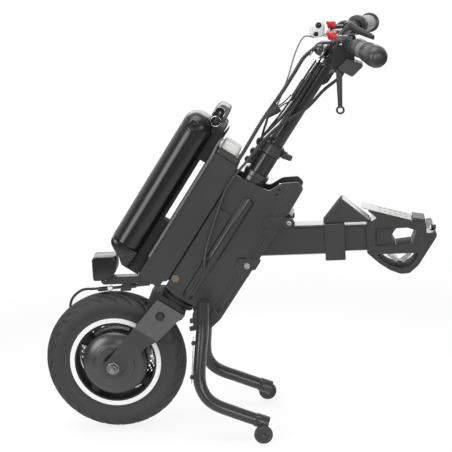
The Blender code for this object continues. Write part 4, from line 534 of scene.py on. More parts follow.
def make_finishes(chosen):
    make_grain_group()
    make_edge_group()
    # The third colour of each finish is its edge colour: wear and painted highlight along the edges.
    return {"powder": coated("powder_black", shade_of(chosen.coat), shade_of(chosen.coat, 1.7), 0.1, 0.34,
        0.07, 1200, 0.16), "powder_arm": coated("powder_black_arm", 0.013, 0.022, 0.08, 0.32, 0.06, 1400, 0.08,
        coat=0.8, coat_ior=1.45), "satin_tube": coated("satin_black_tube", 0.017, 0.027, 0.08, 0.19, 0.04,
        1400, 0.04), "plastic": coated("moulded_black", 0.015, 0.024, 0.06, 0.4, 0.08, 700, 0.12, 0.0006),
        "rubber": coated("black_rubber", 0.018, 0.032, 0.05, 0.58, 0.08, 500, 0.25, 0.0006, 0.3),
        "cable": coated("cable_jacket", 0.008, 0.014, 0.04, 0.42, 0.06, 800, 0.1, 0.0003, 0.2),
        "gloss": coated("gloss_black", 0.008, 0.012, 0.04, 0.2, 0.04, 300, 0.02, 0.0012, 0.3),
        "steel": coated("bright_steel", grey(0.52, 0.01), grey(0.64, 0.01), 0.8, 0.24, 0.08, 700, 0.06, 0.0005,
        0.6, 1.0), "dark_steel": coated("blackened_steel", 0.06, 0.11, 0.35, 0.28, 0.08, 700, 0.06, 0.0005,
        0.5, 0.8), "mid_steel": coated("turned_steel", 0.2, 0.3, 0.55, 0.22, 0.06, 700, 0.05, 0.0005, 0.5,
        0.9), "chrome": coated("chrome", 0.8, 0.86, 0.9, 0.08, 0.03, 200, 0.01, 0.0005, 0.3, 1.0),
        "alloy": coated("machined_alloy", 0.62, 0.72, 0.85, 0.33, 0.08, 900, 0.06, 0.0005, 0.6, 1.0),
        "white": coated("white_coat", shade_of(chosen.ring), shade_of(chosen.ring, 1.03), 0.92, 0.38, 0.05,
        700, 0.04, 0.0006, 0.3), "pale": coated("pale_plastic", shade_of(chosen.pale),
        shade_of(chosen.pale, 1.18), 0.6, 0.45, 0.05, 700, 0.08, 0.0008, 0.3),
        "tyre": coated("tyre_rubber", 0.013, 0.026, 0.07, 0.58, 0.08, 420, 0.3, 0.0008, 0.25),
        "grip": coated("grip_rubber", 0.026, 0.044, 0.09, 0.3, 0.06, 520, 0.2, 0.0006, 0.5),
        "motor": coated("satin_motor", 0.014, 0.022, 0.08, 0.27, 0.05, 1300, 0.1, 0.0007, specular=0.8),
        "wrap": coated("wound_tape", 0.022, 0.042, 0.1, 0.28, 0.08, 700, 0.12, 0.0003, 0.2),
        # The conduit's light grey colour paints the sheen of light along its ribs.
        "conduit_sheen": coated("conduit_with_painted_sheen", 0.12, 0.2, 0.35, 0.24, 0.06, 700, 0.06, 0.0003, 0.3),
        "pale_cable": coated("pale_cable", 0.16, 0.22, 0.3, 0.42, 0.06, 700, 0.08, 0.0003, 0.2),
        "lens": coated("lamp_lens", 0.05, 0.08, 0.1, 0.1, 0.03, 200, 0.02, 0.0004, 0.2, 0.0, 1.0),
        "case": coated("satin_case", grey(0.005, 0.06), grey(0.008, 0.06), 0.04, 0.24, 0.04, 1400, 0.04,
        0.0012, 0.3), "matt": coated("matt_black", 0.004, 0.008, 0.03, 0.68, 0.05, 700, 0.1),
        "grey_band": coated("grey_band", grey(0.13, 0.03), grey(0.18, 0.03), 0.3, 0.36, 0.06, 520, 0.12,
        0.0006, 0.3), "pale_grip": coated("pale_grip", 0.34, 0.44, 0.6, 0.34, 0.06, 520, 0.1, 0.0006, 0.3),
        "guide": coated("brushed_guide", grey(0.46, 0.01), grey(0.56, 0.01), 0.75, 0.34, 0.08, 900, 0.08,
        0.0006, 0.6, 0.55), "bronze": coated("bronze_sheath", (0.1, 0.08, 0.06, 1), (0.15, 0.12, 0.09, 1), 0.3,
        0.38, 0.06, 700, 0.06, 0.0003, 0.2), "red": coated("red_plastic", shade_of(chosen.locks),
        shade_of(chosen.locks, 1.25), (0.8, 0.08, 0.07, 1), 0.36, 0.06, 600, 0.06)}


FINISH = {}

# Which finish each carried-over node has
NODE_FINISH = {
    "powder": (
        "fork_blade_left fork_blade_right side_plate_left side_plate_right front_cover_left "
        "front_cover_right beam_housing headlight_bar brake_caliper clamp_collar quick_release_lever "
        "clamp_sleeve ramp_wedge brake_perch_left brake_perch_right stand_shaft"
    ),
    "powder_arm": "arm_tube cradle_body",
    "satin_tube": "steerer_tube column_tube handlebar stand_leg_left stand_leg_right",
    "plastic": "headlight stop_block stand_release",
    "matt": "fork_crown",
    "guide": "guide_strip",
    "rubber": "tyre grip_left throttle_grip foot_wheel_left foot_wheel_right pull_strap",
    "cable": (
        "beam_conduit spiral_hose stand_cable_lower motor_cable display_cable column_hoses "
        "stand_cable_upper"
    ),
    "gloss": "battery_case battery_base lock_housing",
    "steel": "latch_pin docking_hook docking_jaw brake_rotor",
    "dark_steel": "axle hub_motor head_tube brake_lever_left brake_lever_right",
    "chrome": "lock_lever bell",
    "white": "rim display",
    "pale": "beam_top_block",
}


class HandbikeSizes(bpy.types.PropertyGroup):
    """Sizes of the pieces that are fitted over the solids."""

    tread_pitches: IntProperty(
        name="Tread pitches", description="Lugs round the tyre on each side", default=27, min=12, max=90
    )
    tread_depth: FloatProperty(
        name="Tread depth", description="Depth of the tyre's grooves", default=0.0030, min=0.0, max=0.004,
        subtype="DISTANCE", unit="LENGTH",
    )


class HandbikeFinishes(bpy.types.PropertyGroup):
    """Colours of the coats and mouldings."""

    coat: FloatVectorProperty(
        name="Frame coat", description="Powder coat of the frame", subtype="COLOR",
        default=(0.020, 0.020, 0.0205)
    )
    ring: FloatVectorProperty(
        name="Rim ring", description="White ring of the rim", subtype="COLOR", default=(0.70, 0.70, 0.70)
    )
    locks: FloatVectorProperty(
        name="Parking locks", description="Catches on the brake perches", subtype="COLOR",
        default=(0.42, 0.008, 0.014)
    )
    pale: FloatVectorProperty(
        name="Pale mouldings", description="Display and beam block", subtype="COLOR", default=(0.56, 0.56, 0.55)
    )


def white_to_lens(tree, plain, camera_share, mirror_share):
    """The shader as the object sees it, and plain white where the lens or a mirror sees it."""
    path = add(tree, "ShaderNodeLightPath")
    mirror = reading(tree, "MAXIMUM", path.outputs["Is Glossy Ray"], path.outputs["Is Transmission Ray"])
    mirror = reading(tree, "MULTIPLY", mirror, mirror_share)
    lens = reading(tree, "MULTIPLY", path.outputs["Is Camera Ray"], camera_share)
    share = reading(tree, "MAXIMUM", lens, mirror)
    glow = add(tree, "ShaderNodeEmission", {"Color": (1, 1, 1, 1), "Strength": 1.0})
    return add(tree, "ShaderNodeMixShader", {0: share, 1: plain, 2: glow.outputs[0]}).outputs[0]


def eased(tree, value, start, end, first, last):
    node = add(tree, "ShaderNodeMapRange", {"Value": value, "From Min": start, "From Max": end,
        "To Min": first, "To Max": last}, interpolation_type="SMOOTHSTEP")
    return node.outputs[0]


class HANDBIKE_OT_stage(bpy.types.Operator):
    """Camera, floor and soft lamps"""

    bl_idname = "handbike.stage"
    bl_label = "Stage"

    def execute(self, context):
        place = Vector((0.2209, -3.2709, 1.2975))
        aim = Vector((-0.0185, 0.0, 0.4591))
        ahead = (aim - place).normalized()
        flat_right = ahead.cross(Vector((0, 0, 1))).normalized()
        flat_up = flat_right.cross(ahead)
        roll = math.radians(3.096)
        right = flat_right * math.cos(roll) - flat_up * math.sin(roll)
        up = flat_right * math.sin(roll) + flat_up * math.cos(roll)
        bpy.ops.object.camera_add(location=place)
        camera = context.object
        camera.name = "photograph_camera"
        camera.rotation_euler = Matrix((right, up, -ahead)).transposed().to_euler()
        camera.data.lens = 122.3
        camera.data.sensor_width = 36.0
        context.scene.camera = camera

        put_down()
        bpy.ops.mesh.primitive_plane_add(size=60, location=(0, 10, -0.0005))
        floor = settle(named("studio_floor"))
        paint = bpy.data.materials.new("studio_white")
        paint.use_nodes = True
        tree = paint.node_tree
        where = add(tree, "ShaderNodeTexCoord").outputs["Object"]
        away = add(tree, "ShaderNodeVectorMath", {0: where}, operation="LENGTH").outputs["Value"]
        near = eased(tree, away, 0.55, 1.35, 1.0, 0.0)
        plain = tree.nodes["Principled BSDF"]
        plain.inputs["Roughness"].default_value = 0.9
        colour = blend_colour(tree, near, (0.16, 0.16, 0.16, 1), (0.84, 0.84, 0.84, 1))
        tree.links.new(colour, plain.inputs["Base Color"])
        lens = reading(tree, "MULTIPLY_ADD", near, -0.16, 1.0)
        mirror = reading(tree, "MULTIPLY", near, 0.75)
        out = tree.nodes["Material Output"]
        tree.links.new(white_to_lens(tree, plain.outputs[0], lens, mirror), out.inputs["Surface"])
        floor.data.materials.append(paint)

        world = bpy.data.worlds.new("studio_air")
        context.scene.world = world
        world.use_nodes = True
        tree = world.node_tree
        air = tree.nodes["Background"]
        air.inputs["Strength"].default_value = 1.0
        toward = add(tree, "ShaderNodeTexCoord").outputs["Generated"]
        split = add(tree, "ShaderNodeSeparateXYZ", {0: toward})
        back = eased(tree, split.outputs["Y"], -0.25, 0.45, 0.0, 1.0)
        top = eased(tree, split.outputs["Z"], 0.10, 0.55, 0.0, 1.0)
        level_light = reading(tree, "MULTIPLY_ADD", top, 0.52, 0.10)
        light = reading(tree, "MULTIPLY_ADD", back, 0.55, level_light, clamp=True)
        shade = blend_colour(tree, light, (0, 0, 0, 1), (1, 1, 1, 1))
        tree.links.new(shade, air.inputs["Color"])
        mixed = white_to_lens(tree, air.outputs[0], 1.0, back)
        tree.links.new(mixed, tree.nodes["World Output"].inputs["Surface"])

        lamps = (("overhead_softbox", (-0.3, -0.3, 3.2), (0.0, 0.0, 0.4), 2.2, 2.2, 52.0),
            ("front_softbox", (0.85, -4.2, 1.05), (0.0, 0.0, 0.35), 2.2, 1.8, 50.0),
            ("left_softbox", (-2.3, -2.5, 1.35), (-0.1, 0.0, 0.3), 1.5, 2.0, 54.0),
            ("side_softbox", (2.4, -3.2, 0.8), (0.2, 0.0, 0.6), 1.0, 1.0, 15.0),
            ("back_softbox", (-0.3, 3.7, 1.75), (0.0, 0.0, 0.4), 2.6, 1.5, 17.0))
        for name, place, aim, wide, tall, power in lamps:
            bpy.ops.object.light_add(type="AREA", location=place)
            lamp = context.object
            lamp.name = name
            lamp.data.shape = "RECTANGLE"
            lamp.data.size = wide
            lamp.data.size_y = tall
            lamp.data.energy = power
            lamp.rotation_mode = "QUATERNION"
            lamp.rotation_quaternion = (Vector(place) - Vector(aim)).to_track_quat("Z", "Y")
        context.scene.view_settings.view_transform = "Standard"
        return {"FINISHED"}


class HANDBIKE_OT_coat_nodes(bpy.types.Operator):
    """Finish of every carried-over solid"""

    bl_idname = "handbike.coat_nodes"
    bl_label = "Coat the solids"

    def execute(self, context):
        FINISH.update(make_finishes(context.scene.handbike_finishes))
        for finish, names in NODE_FINISH.items():
            for name in names.split():
                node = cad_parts[name]
                if not node.material_slots:
                    node.data.materials.append(FINISH[finish])
                for slot in node.material_slots:
                    slot.link = "OBJECT"
                    slot.material = FINISH[finish]
        return {"FINISHED"}


class HANDBIKE_OT_tyre(bpy.types.Operator):
    """Tyre with curved grooves across its shoulders"""

    bl_idname = "handbike.tyre"
    bl_label = "Tyre"

    def execute(self, context):
        sizes = context.scene.handbike_sizes
        right = [(0.0917, 0.0239), (0.1040, 0.0239), (0.1052, 0.0232)]
        for step in range(3, 27):
            angle = math.radians(-40 + 130 * step / 26)
            reach = TYRE_SWELL - 0.0002
            if -16 < math.degrees(angle) < -11 or 18 < math.degrees(angle) < 23:
                reach += 0.0002
            right.append((TYRE_MIDDLE + reach * math.sin(angle), reach * math.cos(angle)))
        left = [(radius, -height) for radius, height in reversed(right[:-1])]
        tyre = lathe("tyre_tread", right + left, AXLE, (0, 1, 0), 480, closed=True, sharp=60)
        pitches = sizes.tread_pitches
        for vert in tyre.data.vertices:
            out = vert.co - AXLE
            around = math.atan2(out.z, out.x)
            radius = math.hypot(out.x, out.z)
            lean = math.degrees(math.atan2(radius - TYRE_MIDDLE, abs(out.y)))
            if lean < 5:
                continue
            side = 1 if out.y > 0 else -1
            phase = around * pitches / (2 * math.pi) + 0.25 * side
            rise = (lean - 5) / 85
            sweep = 2.6 * rise**1.3 - 0.5 * math.sin(rise * math.pi)
            line = abs((phase - sweep) % 1.0 - 0.5) * 2
            fork = abs((phase + 1.1 * rise + 0.2) % 1.0 - 0.5) * 2
            cut = share_between(line, 0.66, 0.90) * share_between(lean, 8, 30)
            cut = max(cut, 0.7 * share_between(fork, 0.78, 0.94) * share_between(lean, 24, 40))
            cut *= 1.0 - 0.55 * share_between(lean, 58, 80)
            depth = sizes.tread_depth * cut
            centre = Vector((math.cos(around) * TYRE_MIDDLE, 0, math.sin(around) * TYRE_MIDDLE))
            inward = (centre - out).normalized()
            vert.co += inward * depth
        tyre.data.update()
        smooth_by(tyre, 50)
        fit(tyre, "wheel", "tyre", stands_for="tyre")
        return {"FINISHED"}


def round_wheel(angle, radius, y):
    """A point on a circle round the wheel's axle."""
    return AXLE + Vector((math.cos(angle) * radius, y, math.sin(angle) * radius))


class HANDBIKE_OT_wheel(bpy.types.Operator):
    """Rim with its white rings, cast arms, hub motor, screws and perforated rotor"""

    bl_idname = "handbike.wheel"
    bl_label = "Wheel"

    def execute(self, context):
        along = (0, 1, 0)
        barrel = [(0.088, 0.0258), (0.0884, 0.0262), (0.0905, 0.0262), (0.0908, 0.025), (0.091, 0.0243),
            (0.091, -0.0243), (0.0908, -0.025), (0.0905, -0.0262), (0.0884, -0.0262), (0.088, -0.0258),
            (0.0872, -0.018), (0.0866, 0.0), (0.0872, 0.018)]
        rim = lathe("rim_barrel", barrel, AXLE, along, 128, closed=True)
        arms = []
        for index in range(4):
            angle = math.radians(52 + 90 * index)
            outward = Vector((math.cos(angle), 0, math.sin(angle)))
            arm = round_bar("rim_arm", AXLE + outward * 0.0725, AXLE + outward * 0.0882, 0.015, 24, 0.0, 0.020)
            arms.append(arm)
        rim = merge("rim_barrel", rim, *arms)
        smooth_by(rim, 40)
        fit(rim, "wheel", "matt", stands_for="rim")
        shape = [(0.0925, 0.0246), (0.0925, 0.0257), (0.0928, 0.026), (0.1026, 0.026), (0.103, 0.0257),
            (0.103, 0.0246)]
        rings = [lathe("white_ring", shape, AXLE, (0, side, 0), 128, closed=True) for side in (-1, 1)]
        ring = merge("white_ring", *rings)
        fit(ring, "wheel", "white")

        motor = [(0.0078, 0.0338), (0.05, 0.0324), (0.059, 0.0296), (0.07, 0.0288), (0.0725, 0.0283),
            (0.0738, 0.0268), (0.0738, -0.0268), (0.0731, -0.03), (0.0716, -0.033), (0.069, -0.0356),
            (0.0655, -0.0381), (0.06, -0.041), (0.054, -0.0432), (0.048, -0.0446), (0.0468, -0.045),
            (0.0462, -0.0456), (0.0455, -0.0488), (0.0448, -0.0497), (0.0436, -0.0502), (0.042, -0.0504),
            (0.025, -0.0504), (0.024, -0.0501), (0.016, -0.0501), (0.0078, -0.0501)]
        cover = lathe("hub_motor_cover", motor, AXLE, along, 128, closed=True, sharp=38)
        fit(cover, "wheel", "motor", stands_for="hub_motor")
        screws = []
        for index in range(8):
            angle = 2 * math.pi * (index + 0.35) / 8
            place = round_wheel(angle, COVER_SCREW_CIRCLE, -0.0502)
            screws.append(cap_screw("motor_screw", place, (0, -1, 0), 0.0021, 0.0006))
        for index in range(10):
            angle = 2 * math.pi * (index + 0.5) / 10
            place = round_wheel(angle, ARM_SCREW_CIRCLE, 0.0284)
            screws.append(cap_screw("motor_screw", place, (0, 1, 0), 0.0026, 0.0014))
        fit(merge("motor_screws", *screws), "wheel", "dark_steel")

        fit(rotor_disc(), "wheel", "steel", stands_for="brake_rotor")
        return {"FINISHED"}


def rotor_disc():
    """The brake disc on its carrier, with its windows and vent holes left open."""
    put_down()
    bpy.ops.mesh.primitive_circle_add(vertices=240, radius=ROTOR_RADIUS, fill_type="NOTHING")
    disc = named("rotor_disc")
    bpy.ops.object.mode_set(mode="EDIT")
    bpy.ops.mesh.select_all(action="SELECT")
    radius = ROTOR_RADIUS
    for reach in ROTOR_RINGS:
        bpy.ops.mesh.extrude_region()
        share = reach / radius
        bpy.ops.transform.resize(value=(share, share, 1))
        radius = reach
    bpy.ops.object.mode_set(mode="OBJECT")
    mesh = disc.data
    mesh.materials.clear()
    rows = ((0.0758, 0.0776), (0.0798, 0.0816), (0.0838, 0.0856))
    for face in mesh.polygons:
        centre = face.center
        reach = math.hypot(centre.x, centre.y)
        turn = math.atan2(centre.y, centre.x) / (2 * math.pi) % 1.0
        window = 0.044 < reach < 0.0722 and (turn * 6) % 1.0 > 0.30
        row = next((i for i, (low, high) in enumerate(rows) if low < reach < high), None)
        vent = row is not None and (turn * 40 + row / 3 + 0.01) % 1.0 < 0.34
        face.select = window or vent
    bpy.ops.object.mode_set(mode="EDIT")
    bpy.ops.mesh.select_mode(type="FACE")
    bpy.ops.mesh.delete(type="FACE")
    bpy.ops.mesh.select_mode(type="VERT")
    bpy.ops.object.mode_set(mode="OBJECT")
    wall = disc.modifiers.new("wall", "SOLIDIFY")
    wall.thickness = ROTOR_THICKNESS
    wall.offset = 0
    pick(disc)
    bpy.ops.object.modifier_apply(modifier="wall")
    disc.rotation_euler = (math.radians(90), 0, 0)
    disc.location = AXLE + Vector((0, ROTOR_Y, 0))
    settle(disc)
    face_out(disc)
    hub = lathe("rotor_carrier", [(0.0178, 0.0345), (0.03, 0.0345), (0.03, 0.0374), (0.0178, 0.0374)], AXLE,
        (0, 1, 0), 64, closed=True)
    disc = merge("rotor_disc", disc, hub)
    return smooth_by(disc, 30)


def cap_screw(name, place, along, radius, height, socket=True):
    """A round screw head with a hexagonal socket."""
    profile = [(radius, -height * 0.3), (radius, height * 0.6), (radius * 0.86, height),
        (radius * 0.52, height)]
    profile += [(radius * 0.46, height * 0.35), (0, height * 0.35)] if socket else [(0, height * 1.12)]
    return lathe(name, profile, place, along, 12 if radius < 0.004 else 24)


def screws_on(name, body, places, along, radius, height, finish="dark_steel", socket=True):
    heads = [cap_screw(name, place, along, radius, height, socket) for place in places]
    piece = merge(name, *heads) if len(heads) > 1 else heads[0]
    piece.name = name
    return fit(piece, body, finish)


class HANDBIKE_OT_axle(bpy.types.Operator):
    """Axle with its domed nuts and washers"""

    bl_idname = "handbike.axle"
    bl_label = "Axle"

    def execute(self, context):
        shapes = []
        for _, side in SIDES:
            inner = 0.0502 if side < 0 else 0.0352
            bar = lathe("axle_bar", [(0.0068, inner), (0.0094, inner), (0.0094, 0.0615), (0.0068, 0.0615),
                (0.0068, 0.07), (0.0, 0.07)], AXLE, (0, side, 0), 40)
            nut = lathe("axle_nut", [(0.0, 0.0683), (0.0138, 0.0683), (0.0139, 0.0698), (0.0134, 0.0703),
                (0.0116, 0.0704), (0.0114, 0.0716), (0.0107, 0.0768), (0.0098, 0.0786), (0.0078, 0.079),
                (0.007, 0.0784), (0.0066, 0.079), (0.006, 0.0838), (0.0048, 0.0847), (0.0, 0.0849)], AXLE,
                (0, side, 0), 48, sharp=28)
            shapes += [bar, nut]
        axle = merge("axle_and_nuts", *shapes)
        smooth_by(axle, 28)
        fit(axle, "steering", "mid_steel", stands_for="axle")
        return {"FINISHED"}


class HANDBIKE_OT_fork_fittings(bpy.types.Operator):
    """Bolts of the fork and the rings of its lower bearing"""

    bl_idname = "handbike.fork_fittings"
    bl_label = "Fork fittings"

    def execute(self, context):
        for label, side in SIDES:
            out = (0, side, 0)
            base = 0.0490
            bolt = lathe(f"fork_bolt_{label}", [(0.0101, base + 0.004), (0.0101, base + 0.0088),
                (0.0093, base + 0.0104), (0.006, base + 0.0108), (0.0056, base + 0.0076),
                (0.0, base + 0.0076)], leaning(0.028, 0, 0.156), out, 40, sharp=30)
            fit(bolt, "steering", "gloss")
            spots = ((0.033, 0.089), (-0.003, 0.043), (0.025, 0.039), (0.02, 0.014))
            places = [leaning(v, side * 0.0679, u) for v, u in spots]
            screws_on(f"blade_screws_{label}", "steering", places, out, 0.0022, 0.0010)
        rings = []
        for low, high, radius in ((0.1922, 0.1952, 0.0398), (0.1978, 0.2006, 0.0398), (0.2010, 0.2036, 0.0385)):
            shape = eased_ring(0.031, low, high, radius, 0.0006)
            rings.append(lathe("bearing_ring", shape, leaning(STEER_V, 0, 0), FORK_UP, 72, closed=True))
        fit(merge("lower_bearing_rings", *rings), "steering", "satin_tube")
        return {"FINISHED"}


class HANDBIKE_OT_plate_fittings(bpy.types.Operator):
    """Screws and rail lips of the frame plates, and the arm's bumper"""

    bl_idname = "handbike.plate_fittings"
    bl_label = "Frame fittings"

    def execute(self, context):
        for label, side in SIDES:
            out = (0, side, 0)
            skin = PLATE_FACE
            bolt = leaning(0.014, side * (skin + 0.0026), 0.243)
            screws_on(f"cover_bolt_{label}", "frame", [bolt], out, 0.0084, 0.0018, "bronze")
            places = [leaning(0.083, side * skin, 0.228)]
            screws_on(f"plate_screws_{label}", "frame", places, out, 0.0034, 0.0012)
            places = [leaning(0.138, side * (skin + 0.001), 0.194), leaning(0.13, side * (skin + 0.001), 0.47)]
            screws_on(f"rail_screws_{label}", "frame", places, out, 0.0026, 0.0010)
            lip = [leaning(0.137, side * (skin + 0.0006), u) for u in (0.245, 0.3, 0.4, 0.5, 0.552)]
            groove = hose(f"rail_lip_{label}", run_through(lip, 3), 0.0008, 1)
            fit(groove, "frame", "powder")
        bumper = block("arm_bumper", leaning(0.1530, 0, 0.5005), (0.012, 0.030, 0.012), LEAN, 0.003)
        fit(bumper, "arm", "pale")
        return {"FINISHED"}


class HANDBIKE_OT_plate_lines(bpy.types.Operator):
    """Ridges, grooves and seams on the two side plates; a wide matt strip paints the shade beside the ridge,
    and short ones paint the shadows under the brackets.
    """

    bl_idname = "handbike.plate_lines"
    bl_label = "Plate lines"

    def execute(self, context):
        # The first strip, beside the ridge, is painted shade; the others are dark seam lines.
        seams_and_ridge_shade = (((0.0712, 0.33), (0.0712, 0.483), 0.004), ((0.1218, 0.215), (0.1218, 0.452), 0.0009),
            ((0.0462, 0.22), (0.0462, 0.433), 0.001), ((0.007, 0.4328), (0.0462, 0.4328), 0.0011))
        rails = (((0.1268, 0.235), (0.1268, 0.435), 0.0008), ((0.1335, 0.33), (0.1335, 0.435), 0.0016),
            ((0.14, 0.235), (0.14, 0.435), 0.0008))
        for label, side in SIDES:
            strips = []
            for group, face in ((seams_and_ridge_shade, PLATE_FACE), (rails, PLATE_FACE + 0.0010)):
                for (first_v, first_u), (last_v, last_u), wide in group:
                    size = (abs(last_v - first_v) + wide, 0.0006, abs(last_u - first_u) + wide)
                    centre = leaning((first_v + last_v) / 2, side * face, (first_u + last_u) / 2)
                    strips.append(block("plate_dark_strip", centre, size, LEAN, 0.0002, 1))
            fit(merge(f"plate_seams_and_shade_{label}", *strips), "frame", "matt")
            ridge = round_bar("ridge", leaning(0.057, side * 0.029, 0.216),
                leaning(0.057, side * 0.029, 0.486), 0.0105, 40, 0.004)
            ridge.name = f"plate_ridge_{label}"
            fit(ridge, "frame", "satin_tube")
            # Matt strips paint the shadows under the upper and lower brackets.
            under = dark_line("bracket_shadow", 0.3640, side * 0.0327, 0.4588, (0.0340, 0.0010, 0.0028), 0.0003)
            low = dark_line("bracket_shadow", 0.3000, side * 0.0327, 0.3940, (0.0300, 0.0010, 0.0022), 0.0003)
            fit(merge(f"bracket_shadows_{label}", under, low), "frame", "matt")
        return {"FINISHED"}


class HANDBIKE_OT_battery(bpy.types.Operator):
    """Battery case with its foot and plug"""

    bl_idname = "handbike.battery"
    bl_label = "Battery"

    def execute(self, context):
        plug = lathe("battery_plug_face", [(0.0127, 0.0385), (0.0129, 0.048), (0.012, 0.0503), (0.01, 0.0506),
            (0.0096, 0.0496), (0.0062, 0.0494), (0.0058, 0.0505), (0.0, 0.0507)], leaning(-0.128, 0, 0.562),
            (0, -1, 0), 56, sharp=28)
        fit(plug, "battery", "gloss")
        front, rear, half = -0.1520, -0.0860, 0.0460
        stops = [(0.252, front + 0.0016, rear - 0.0016, half - 0.0016), (0.2532, front, rear, half),
            (0.544, front, rear, half)]
        stops += [(0.5444, front + 0.0008, rear - 0.0008, half - 0.0008),
            (0.5456, front + 0.0008, rear - 0.0008, half - 0.0008)]
        stops += [(0.5460, front, rear, half)]
        for step in range(0, 9):
            angle = math.radians(step * 10.6)
            inset = 0.027 * (1 - math.cos(angle))
            stops.append((0.556 + 0.031 * math.sin(angle), front + inset * 1.08, rear - inset * 0.92,
                half - inset))
        shell = hull("battery_shell", 0.0318, stops)
        fit(shell, "battery", "case", stands_for="battery_case")
        stops = [(0.2065, -0.106, -0.0905, 0.03), (0.207, -0.1075, -0.0893, 0.0315),
            (0.212, -0.112, -0.0875, 0.034)]
        stops += [(0.2215, -0.1215, -0.0866, 0.0375), (0.2225, -0.1265, -0.0864, 0.0395),
            (0.229, -0.1375, -0.0862, 0.0425)]
        stops += [(0.235, -0.146, -0.0861, 0.0445), (0.241, -0.1505, -0.086, 0.0458),
            (0.247, -0.1525, -0.086, 0.0462)]
        stops += [(0.2505, -0.1518, -0.0862, 0.0458), (0.2516, -0.1500, -0.0870, 0.0440)]
        foot = hull("battery_foot", 0.0076, stops)
        fit(foot, "battery", "gloss", stands_for="battery_base")
        return {"FINISHED"}


class HANDBIKE_OT_lock(bpy.types.Operator):
    """Lock over the battery, the rail it slides on and the beam's pale pad"""

    bl_idname = "handbike.lock"
    bl_label = "Battery lock"

    def execute(self, context):
        housing = sheet_cut("lock_body", [(-0.105, 0.5665), (-0.1062, 0.608), (-0.105, 0.618),
            (-0.1012, 0.625), (-0.095, 0.6288), (-0.08, 0.6288), (-0.0765, 0.626), (-0.075, 0.6),
            (-0.07, 0.5985), (-0.0655, 0.596), (-0.0648, 0.576), (-0.0632, 0.574), (-0.0632, 0.5665)], -0.025,
            0.025, leans=True, edge=0.0026, segments=3)
        pocket = sheet_cut("lock_pocket", [(-0.0945 + 0.01 * math.cos(math.radians(a)),
            0.6115 + 0.01 * math.sin(math.radians(a))) for a in range(-20, 201, 20)] + [(-0.101, 0.599),
            (-0.086, 0.599)], -0.03, -0.015, leans=True)
        carve(housing, pocket, 40)
        fit(housing, "frame", "gloss", stands_for="lock_housing")
        turns = [math.radians(a) for a in range(-25, 206, 10)]
        arch = [leaning(-0.0945 + 0.0112 * math.cos(a), -0.0252, 0.6115 + 0.0112 * math.sin(a)) for a in turns]
        fit(hose("lock_arch", arch, 0.0009, 3), "frame", "steel")
        seam = round_bar("lock_seam", leaning(-0.1058, -0.02, 0.57), leaning(-0.1058, -0.02, 0.596), 0.001, 10)
        fit(seam, "frame", "chrome")
        ring = lathe("lock_ring", [(0.0096, 0.0012), (0.01, 0.0044), (0.011, 0.0052), (0.0118, 0.0044),
            (0.0121, 0.0012)], leaning(-0.0922, -0.025, 0.5905), (0, -1, 0), 64, closed=True, sharp=50)
        fit(ring, "lock", "chrome", stands_for="lock_lever")
        key = sheet_cut("lock_key", [(-0.096, 0.5885), (-0.0972, 0.612), (-0.0962, 0.615), (-0.094, 0.6162),
            (-0.0918, 0.615), (-0.0908, 0.612), (-0.0888, 0.5885), (-0.0905, 0.5862), (-0.0942, 0.5862)],
            -0.0303, -0.0264, leans=True, edge=0.001)
        fit(key, "lock", "plastic")
        fit(cap_screw("lock_key_pin", leaning(-0.094, -0.0302, 0.612), (0, -1, 0), 0.0014, 0.0006), "lock",
            "steel")
        rail = sheet_cut("battery_slide", [(-0.0603, 0.2), (-0.1028, 0.2), (-0.1028, 0.2054), (-0.085, 0.2054),
            (-0.085, 0.56), (-0.082, 0.5655), (-0.066, 0.5655), (-0.0635, 0.566), (-0.06, 0.59),
            (-0.0585, 0.59), (-0.0585, 0.533), (-0.0603, 0.532)], -0.014, 0.014, leans=True, edge=0.0008)
        window = sheet_cut("slide_window", [(-0.0765, 0.34), (-0.0765, 0.497), (-0.0632, 0.497),
            (-0.0632, 0.34)], -0.02, 0.02, leans=True)
        carve(rail, window, 30)
        fit(rail, "frame", "matt", stands_for="battery_rail")
        stops = [(0.5456, -0.053, -0.0125, 0.0195), (0.5462, -0.054, -0.0118, 0.02),
            (0.56, -0.0538, -0.0122, 0.02)]
        stops += [(0.564, -0.053, -0.013, 0.0193), (0.5658, -0.0515, -0.0145, 0.018),
            (0.5664, -0.0495, -0.0165, 0.016)]
        pad = hull("beam_pad", 0.0075, stops, 64)
        fit(pad, "frame", "pale", stands_for="beam_top_block")
        return {"FINISHED"}


